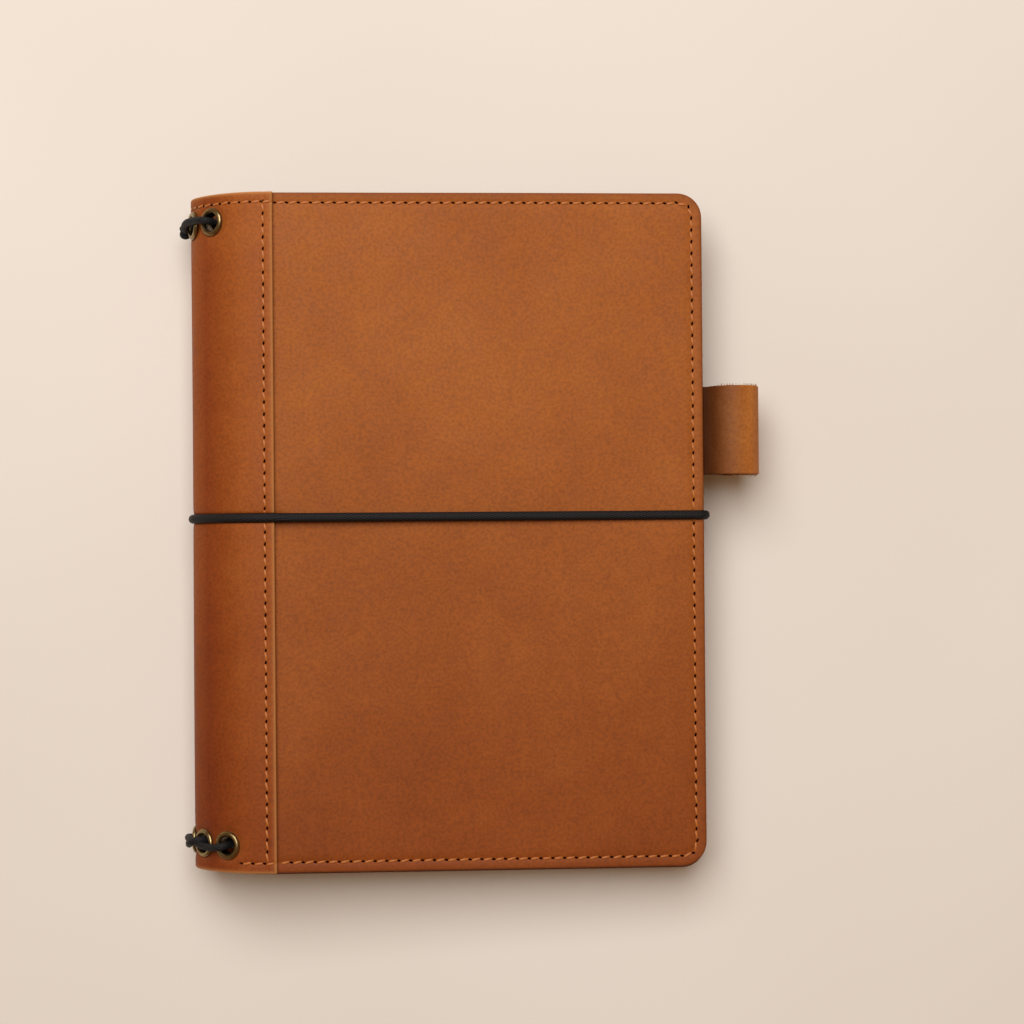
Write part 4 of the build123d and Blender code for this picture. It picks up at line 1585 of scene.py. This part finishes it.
@dataclass
class Lacing:
    """The elastic laced through the eyelets: strands inside, laces and knots outside."""

    section: CoverSection
    rows: EyeletRows
    booklets: "Booklets"
    radius: float = 1.05
    reach_in: float = 4.5
    knot_size: float = 0.44
    knot_steps: int = 72
    knot_place: tuple[float, float, float] = (3.7, 2.1, -0.9)

    def at(self, end: int, station: float, height: float, shift: float = 0.0) -> Vector:
        """A point over the spine at a row of eyelets, shifted towards the head."""
        return self.section.point(station, self.rows.y(self.section, end) + shift, -height)

    def route(self, end: int, bends: tuple[tuple[int, float, float, float], ...]) -> list[Vector]:
        """The points of a lace: eyelet, offset round the spine, height and shift of each bend."""
        return [
            self.at(end, self.rows.station(end, index) + offset, height, shift)
            for index, offset, height, shift in bends
        ]

    def cord(
        self, name: str, points: list[Vector], finishes: Finishes, replaced: tuple[str, ...]
    ) -> None:
        """Makes one length of the elastic along these points."""
        bm = bmesh.new()
        add_tube(bm, smooth_path(points, 0.45 * MM), self.radius * MM, sides=12)
        bmesh.ops.recalc_face_normals(bm, faces=bm.faces)
        finish_piece(name, bm, [finishes.lacing], Body.BACK, replaced)

    def build_strands(self, finishes: Finishes) -> None:
        """Makes the three strands that hold the booklets."""
        for index in range(self.rows.count):
            x, z = self.booklets.gutter(index)
            head, foot = self.rows.station(1, index), self.rows.station(-1, index)
            row = self.rows.y(self.section, 1)
            points = [
                self.at(1, head, 0.3), self.at(1, head, -1.5), self.at(1, head, -self.reach_in),
                self.section.world(x, row - 1.5, z), self.section.world(x, row - 8.0, z),
                self.section.world(x, 30.0, z), self.section.world(x, -30.0, z),
                self.section.world(x, 8.0 - row, z), self.section.world(x, 1.5 - row, z),
                self.at(-1, foot, -self.reach_in), self.at(-1, foot, -1.5), self.at(-1, foot, 0.3),
            ]
            number = index + 1
            self.cord(f"inner_strand_{number}", points, finishes, (f"lace_strand_{number}",))

    def build_laces(self, finishes: Finishes) -> None:
        """Makes the laces that cross outside the spine at the head and the foot."""
        head = self.route(1, HEAD_LACE)
        self.cord("outer_lace_head", head, finishes, ("lace_head",))
        foot = self.route(-1, FOOT_LACE)
        self.cord("outer_lace_foot", foot, finishes, ("lace_foot",))
        tuck = self.route(-1, FOOT_TUCK)
        self.cord("tucked_knot_foot", tuck, finishes, ("lace_knot_foot",))

    def build_knot(self, finishes: Finishes) -> None:
        """Makes the overhand knot at the head, pulled tight beside the spine's outermost line."""
        station = self.rows.station(1, 2)
        _, _, angle = self.section.place(station)
        normal = Vector((math.cos(angle), 0.0, math.sin(angle)))
        along = Vector((0.0, 1.0, 0.0))
        across = along.cross(normal)
        offset, height, shift = self.knot_place
        centre = self.at(1, station + offset, height, shift)
        size = self.knot_size * MM
        points = []
        for step in range(self.knot_steps):
            turn = TAU * step / self.knot_steps
            u = math.sin(turn) + 2 * math.sin(2 * turn)
            v = math.cos(turn) - 2 * math.cos(2 * turn)
            w = -1.25 * math.sin(3 * turn)
            points.append(centre + (across * u + along * v + normal * w) * size)
        bm = bmesh.new()
        add_tube(bm, points, 0.9 * self.radius * MM, sides=12, closed=True)
        bmesh.ops.recalc_face_normals(bm, faces=bm.faces)
        finish_piece(
            "tied_knot_head", bm, [finishes.lacing], Body.BACK, ("lace_knot_head",)
        )


# ---- pen loop ----


@dataclass
class PenLoop:
    """A strip of leather folded into a loop, its skived ends sewn in at the fore-edge."""

    section: CoverSection
    y: float = 29.0
    width: float = 25.9
    bore: float = 6.1
    leather: float = 1.3
    neck: float = 1.7
    skive: float = 0.42
    touch: float = math.radians(148)
    ring_steps: int = 40
    edge_round: float = 0.28
    ragged: float = 0.09
    fibre_radius: float = 0.035
    fibres: int = 150
    # painted shadow: where the front cover's edge starts to shade the loop, and how far out it fades
    cover_shadow_start: float = 1.5
    cover_shadow_reach: float = 11.5

    @property
    def centre(self) -> tuple[float, float]:
        """Centre of the loop's hollow in the section."""
        layer = self.section.lining_depth + self.section.lining_leather / 2
        station = self.section.station(Side.FRONT, self.section.width, layer)
        _, z, _ = self.section.place(station, layer)
        return self.section.width + self.neck + self.bore + self.leather, z

    def path(self) -> list[tuple[float, float, float]]:
        """The strip's middle line from its upper end round to its lower end.

        Returns:
            x, z and the half thickness at each point.
        """
        cx, cz = self.centre
        radius = self.bore + self.leather / 2
        edge = self.section.width
        half = self.leather / 2
        neck = [(edge - 1.2, 0.24, self.skive / 2), (edge - 0.2, 0.28, self.skive / 2)]
        neck += [(edge + 0.7, 0.5, 0.85 * half), (edge + 1.5, 0.95, half)]
        ring = []
        for step in range(self.ring_steps + 1):
            angle = self.touch - 2 * self.touch * step / self.ring_steps
            x, z = polar((cx, cz), radius, angle)
            ring.append((x, z, half))
        upper = [(x, cz + z, thick) for x, z, thick in neck]
        lower = [(x, cz - z, thick) for x, z, thick in reversed(neck)]
        return [*upper, *ring, *lower]

    def cover_shadow(self, x: float) -> float:
        """How dark the painted shadow of the front cover's edge is on the loop: darkest in the fold beside
        the cover.
        """
        share = (x - self.section.width - self.cover_shadow_start) / self.cover_shadow_reach
        return 0.95 * (1 - min(1.0, max(0.0, share)) ** 1.3)

    def build(self, finishes: Finishes) -> None:
        """Makes the loop's strip and the loose fibres on its cut edges."""
        path = self.path()
        normals = []
        for i in range(len(path)):
            (x0, z0, _), (x1, z1, _) = path[max(0, i - 1)], path[min(len(path) - 1, i + 1)]
            run = Vector((x1 - x0, z1 - z0)).normalized()
            normals.append(Vector((-run.y, run.x)))
        half = self.width / 2
        draw = random.Random(21)
        ragged = [draw.uniform(-self.ragged, self.ragged) for _ in path]

        def at(u: float, v: float, out: float) -> Vector:
            """A point of the strip, out from its middle line by this share of its thickness."""
            i = round(u)
            x, z, thick = path[i]
            edge = half - abs(v)
            lift = out * thick - math.copysign(crown(edge, self.edge_round), out)
            end = math.copysign(ragged[i] * math.exp(-edge / 0.3), v)
            swell = waves(x * 2, v, 0.05, 0.7) if thick == self.leather / 2 else 0.0
            lift += math.copysign(swell, out) if out > 0 else 0.0
            return self.section.world(x + normals[i].x * lift, self.y + v + end, z + normals[i].y * lift)

        marks = [end * (half - step) for end in (1, -1) for step in EDGE_STEPS]
        bm = leather_shell(
            list(range(len(path))), grid_lines(-half, half, 2.0, marks),
            lambda u, v: at(u, v, 1.0), lambda u, v: at(u, v, -1.0),
            # painted shadow beside the cover, as a mix towards the loop's edge colour
            lambda u, v: self.cover_shadow(path[round(u)][0]),
        )
        finish_piece(
            "folded_pen_loop", bm, [finishes.loop, finishes.raw_edge], Body.FRONT, ("pen_loop",)
        )
        bm = bmesh.new()
        for _ in range(self.fibres):
            i = draw.randrange(6, len(path) - 18)
            end = draw.choice((1, 1, -1))
            root = at(i, end * half, draw.uniform(-0.8, 0.8))
            lean = Vector((draw.uniform(-0.5, 0.5), end * draw.uniform(0.4, 1.0), draw.uniform(-0.3, 0.4)))
            tip = root + lean.normalized() * draw.uniform(0.25, 0.7) * MM
            bend = (root + tip) / 2 + Vector((draw.uniform(-0.1, 0.1), 0.0, draw.uniform(-0.1, 0.1))) * MM
            add_tube(bm, [root, bend, tip], self.fibre_radius * MM, sides=3)
        finish_piece("pen_loop_fibres", bm, [finishes.raw_edge], Body.FRONT)


# ---- booklets ----


FOLD_TURN = 0.12
FOLD_LINES = (-1, -0.55, -0.12, -0.09, -0.06, -0.03, 0, 0.03, 0.06, 0.09, 0.12, 0.55, 1)


@dataclass
class Booklets:
    """Three thin booklets, each of folded gatherings in a card cover with two staples."""

    section: CoverSection
    count: int = 3
    end_margin: float = 11.0
    fore_margin: float = 10.4
    fold_x: float = 16.0
    card: float = 0.4
    gap: float = 0.2
    clearance: float = 0.2
    gutter_reach: float = 3.2
    gatherings: int = 7
    staple_wire: float = 0.25
    staple_half: float = 6.0
    staple_leg: float = 0.6
    fold_round: float = 1.6

    @property
    def fore_x(self) -> float:
        """Where the booklets' fore-edge lies."""
        return self.section.width - self.fore_margin

    @property
    def half(self) -> float:
        """Half the booklets' height."""
        return self.section.height / 2 - self.end_margin

    def front_z(self, x: float) -> float:
        """The inner surface of the front cover's flat part, continued to x."""
        section = self.section
        touch_x, touch_z = polar(
            section.shoulder_centre, section.shoulder_radius - section.inner_depth, section.front_angle
        )
        return touch_z + (x - touch_x) * math.tan(section.front_angle - math.pi / 2)

    def back_z(self, x: float) -> float:
        """The inner surface of the back cover at x."""
        beyond = max(0.0, x - self.section.strip_reach) / (self.section.width - self.section.strip_reach)
        return self.section.bottom + self.section.inner_depth - self.section.strip_leather * beyond

    def height(self, index: int, share: float, x: float) -> float:
        """Height in a booklet, 0 on top of the pile, from share 0 at its underside to 1."""
        start, end = self.back_z(self.fold_x), self.back_z(self.fore_x)
        low = start + (end - start) * (x - self.fold_x) / (self.fore_x - self.fold_x) + self.clearance
        high = self.front_z(x) - self.clearance
        each = (high - low - (self.count - 1) * self.gap) / self.count
        return low + (self.count - 1 - index) * (each + self.gap) + share * each

    def gutter(self, index: int) -> tuple[float, float]:
        """Where the elastic strand runs inside a booklet."""
        x = self.fold_x + self.gutter_reach
        return x, self.height(index, 0.5, x)

    def folded(self, index: int, share: float, trim: float, u: float) -> tuple[float, float]:
        """A point of a folded sheet.

        Args:
            index: the booklet.
            share: how far in from the booklet's outside the sheet lies, 0 to 0.5.
            trim: how much longer or shorter the sheet is at the fore-edge.
            u: -1 at the lower fore-edge, 0 at the fold, 1 at the upper fore-edge.

        Returns:
            x and z in the section.
        """
        reach = self.height(index, 1 - share, self.fold_x) - self.height(index, share, self.fold_x)
        inset = share * reach
        round_x = min(self.fold_round, reach / 2)
        start = self.fold_x + inset + round_x
        if abs(u) >= FOLD_TURN:
            x = start + (self.fore_x + trim - start) * (abs(u) - FOLD_TURN) / (1 - FOLD_TURN)
            return x, self.height(index, share if u < 0 else 1 - share, x)
        angle = math.pi / 2 * u / FOLD_TURN
        low, high = self.height(index, share, start), self.height(index, 1 - share, start)
        middle, half = (low + high) / 2, (high - low) / 2
        return start - round_x * math.cos(angle) ** 0.7, middle + half * math.sin(angle)

    def build_sheet(
        self,
        bm: bmesh.types.BMesh,
        index: int,
        outer: float,
        inner: float,
        ends: tuple[float, float],
        trim: float,
        short: float,
    ) -> None:
        """Adds one folded sheet, or half of it, between two shares of a booklet's thickness."""
        low, high = ends
        us = [u for u in FOLD_LINES if low <= u <= high]
        half = self.half - short

        def side(share: float) -> Callable[[float, float], Vector]:
            """One side of the sheet."""
            return lambda u, v: self.section.world(*self.flat(index, share, trim, u, v))

        sheet = leather_shell(us, [-half, 0.0, half], side(outer), side(inner), lambda u, v: 0.0)
        mesh = bpy.data.meshes.new("sheet")
        sheet.to_mesh(mesh)
        sheet.free()
        bm.from_mesh(mesh)
        bpy.data.meshes.remove(mesh)

    def flat(self, index: int, share: float, trim: float, u: float, v: float) -> tuple[float, float, float]:
        """The section point of a folded sheet with its height along the spine between."""
        x, z = self.folded(index, share, trim, u)
        return x, v, z

    def build(self, finishes: Finishes) -> None:
        """Makes every booklet; the top one's upper half turns with the leaves' body."""
        parts = [(0, (-1, 0), Body.BACK, "booklet_1_back"), (0, (0, 1), Body.LEAVES, "booklet_1_front")]
        parts += [(i, (-1, 1), Body.BACK, f"booklet_{i + 1}") for i in range(1, self.count)]
        draw = random.Random(33)
        for index, ends, body, label in parts:
            thick = self.height(index, 1, self.fold_x) - self.height(index, 0, self.fold_x)
            skin = self.card / thick
            bm = bmesh.new()
            self.build_sheet(bm, index, 0.0, 0.9 * skin, ends, 0.0, 0.0)
            name = f"{label}_kraft_cover"
            finish_piece(name, bm, [finishes.card, finishes.card], body, (f"{label}_card",))
            bm = bmesh.new()
            pitch = (0.49 - skin) / self.gatherings
            for k in range(self.gatherings):
                start = skin + pitch * k
                trim = draw.uniform(-0.28, -0.1)
                self.build_sheet(bm, index, start, start + 0.93 * pitch, ends, trim, draw.uniform(0.25, 0.4))
            name = f"{label}_gatherings"
            finish_piece(name, bm, [finishes.paper, finishes.paper], body, (f"{label}_leaves",))
        for index in range(self.count):
            self.build_staples(index, finishes)

    def build_staples(self, index: int, finishes: Finishes) -> None:
        """Makes a booklet's two staples, their legs turned in through the fold."""
        bm = bmesh.new()
        z = self.height(index, 0.5, self.fold_x)
        if index == 0:
            z -= self.staple_wire
        out, leg = self.fold_x - self.staple_wire, self.fold_x + self.staple_leg
        for end in (1, -1):
            middle = end * self.half / 2
            half = [(out, 0.96), (out + 0.1, 1), (leg, 1)]
            shape = [(x, -share) for x, share in reversed(half)] + [(out, 0)] + half
            points = [self.section.world(x, middle + share * self.staple_half, z) for x, share in shape]
            add_tube(bm, points, self.staple_wire * MM, sides=8)
        bmesh.ops.recalc_face_normals(bm, faces=bm.faces)
        node = f"booklet_{index + 1}_staples"
        finish_piece(f"wire_{node}", bm, [finishes.wire], Body.BACK, (node,))


# ---- studio ----


@dataclass
class Studio:
    """A pale board, one softbox beyond the head and a camera above."""

    lens: float = 72.8
    camera_place: tuple[float, float, float] = (11.27, -5.36, 629.35)
    camera_turn: tuple[float, float, float] = (0.384, 0.0, -0.468)
    shift: tuple[float, float] = (0.0038, 0.0234)
    board_size: float = 2400.0
    light_place: tuple[float, float, float] = (-130.0, 540.0, 1150.0)
    light_size: float = 1050.0
    light_power: float = 16.6
    light_colour: str = "#FBFCFF"
    room_colour: str = "#FFC890"
    room_strength: float = 0.22

    def build_light(self) -> None:
        """Adds the softbox, a square light aimed at the cover."""
        light = bpy.data.lights.new("softbox", "AREA")
        light.size = self.light_size * MM
        light.energy = self.light_power
        light.color = linear(self.light_colour)[:3]
        lamp = bpy.data.objects.new("softbox", light)
        lamp.location = Vector(self.light_place) * MM
        lamp.rotation_euler = (-lamp.location).to_track_quat("-Z", "Y").to_euler()
        bpy.context.scene.collection.objects.link(lamp)

    def build(self, finishes: Finishes) -> None:
        """Makes the board, the softbox, the surrounding light and the camera."""
        scene = bpy.context.scene
        bm = bmesh.new()
        bmesh.ops.create_grid(bm, x_segments=8, y_segments=8, size=self.board_size / 2 * MM)
        mesh = bpy.data.meshes.new("board")
        bm.to_mesh(mesh)
        bm.free()
        mesh.materials.append(finishes.board)
        board = bpy.data.objects.new("board", mesh)
        scene.collection.objects.link(board)
        self.build_light()
        world = bpy.data.worlds.new("room")
        world.use_nodes = True
        shader = world.node_tree.nodes["Background"]
        shader.inputs["Color"].default_value = linear(self.room_colour)
        shader.inputs["Strength"].default_value = self.room_strength
        scene.world = world
        scene.view_settings.view_transform = "Standard"
        camera = bpy.data.cameras.new("camera")
        camera.lens = self.lens
        camera.shift_x, camera.shift_y = self.shift
        camera.clip_start, camera.clip_end = 0.05, 10.0
        stand = bpy.data.objects.new("camera", camera)
        stand.location = Vector(self.camera_place) * MM
        stand.rotation_euler = [math.radians(angle) for angle in self.camera_turn]
        scene.collection.objects.link(stand)
        scene.camera = stand


def main() -> None:
    """Builds the cover around the frame, piece by piece."""
    logging.basicConfig(level=logging.INFO, format="%(message)s")
    section = read_section()
    route, rows = ClosureRoute(), EyeletRows()
    finishes = Finishes(section.left)
    Studio().build(finishes)
    covers = Covers(section, route, finishes)
    for side in Side:
        covers.build_side(side)
    spine = SpineWrap(section, route, rows)
    spine.build_strip(finishes)
    spine.build_lining(finishes)
    spine.build_stitching(finishes)
    ClosureElastic(section, route).build(finishes)
    Eyelets(section, rows).build(finishes)
    booklets = Booklets(section)
    booklets.build(finishes)
    lacing = Lacing(section, rows, booklets)
    lacing.build_strands(finishes)
    lacing.build_laces(finishes)
    lacing.build_knot(finishes)
    PenLoop(section).build(finishes)


if __name__ == "__main__":
    main()
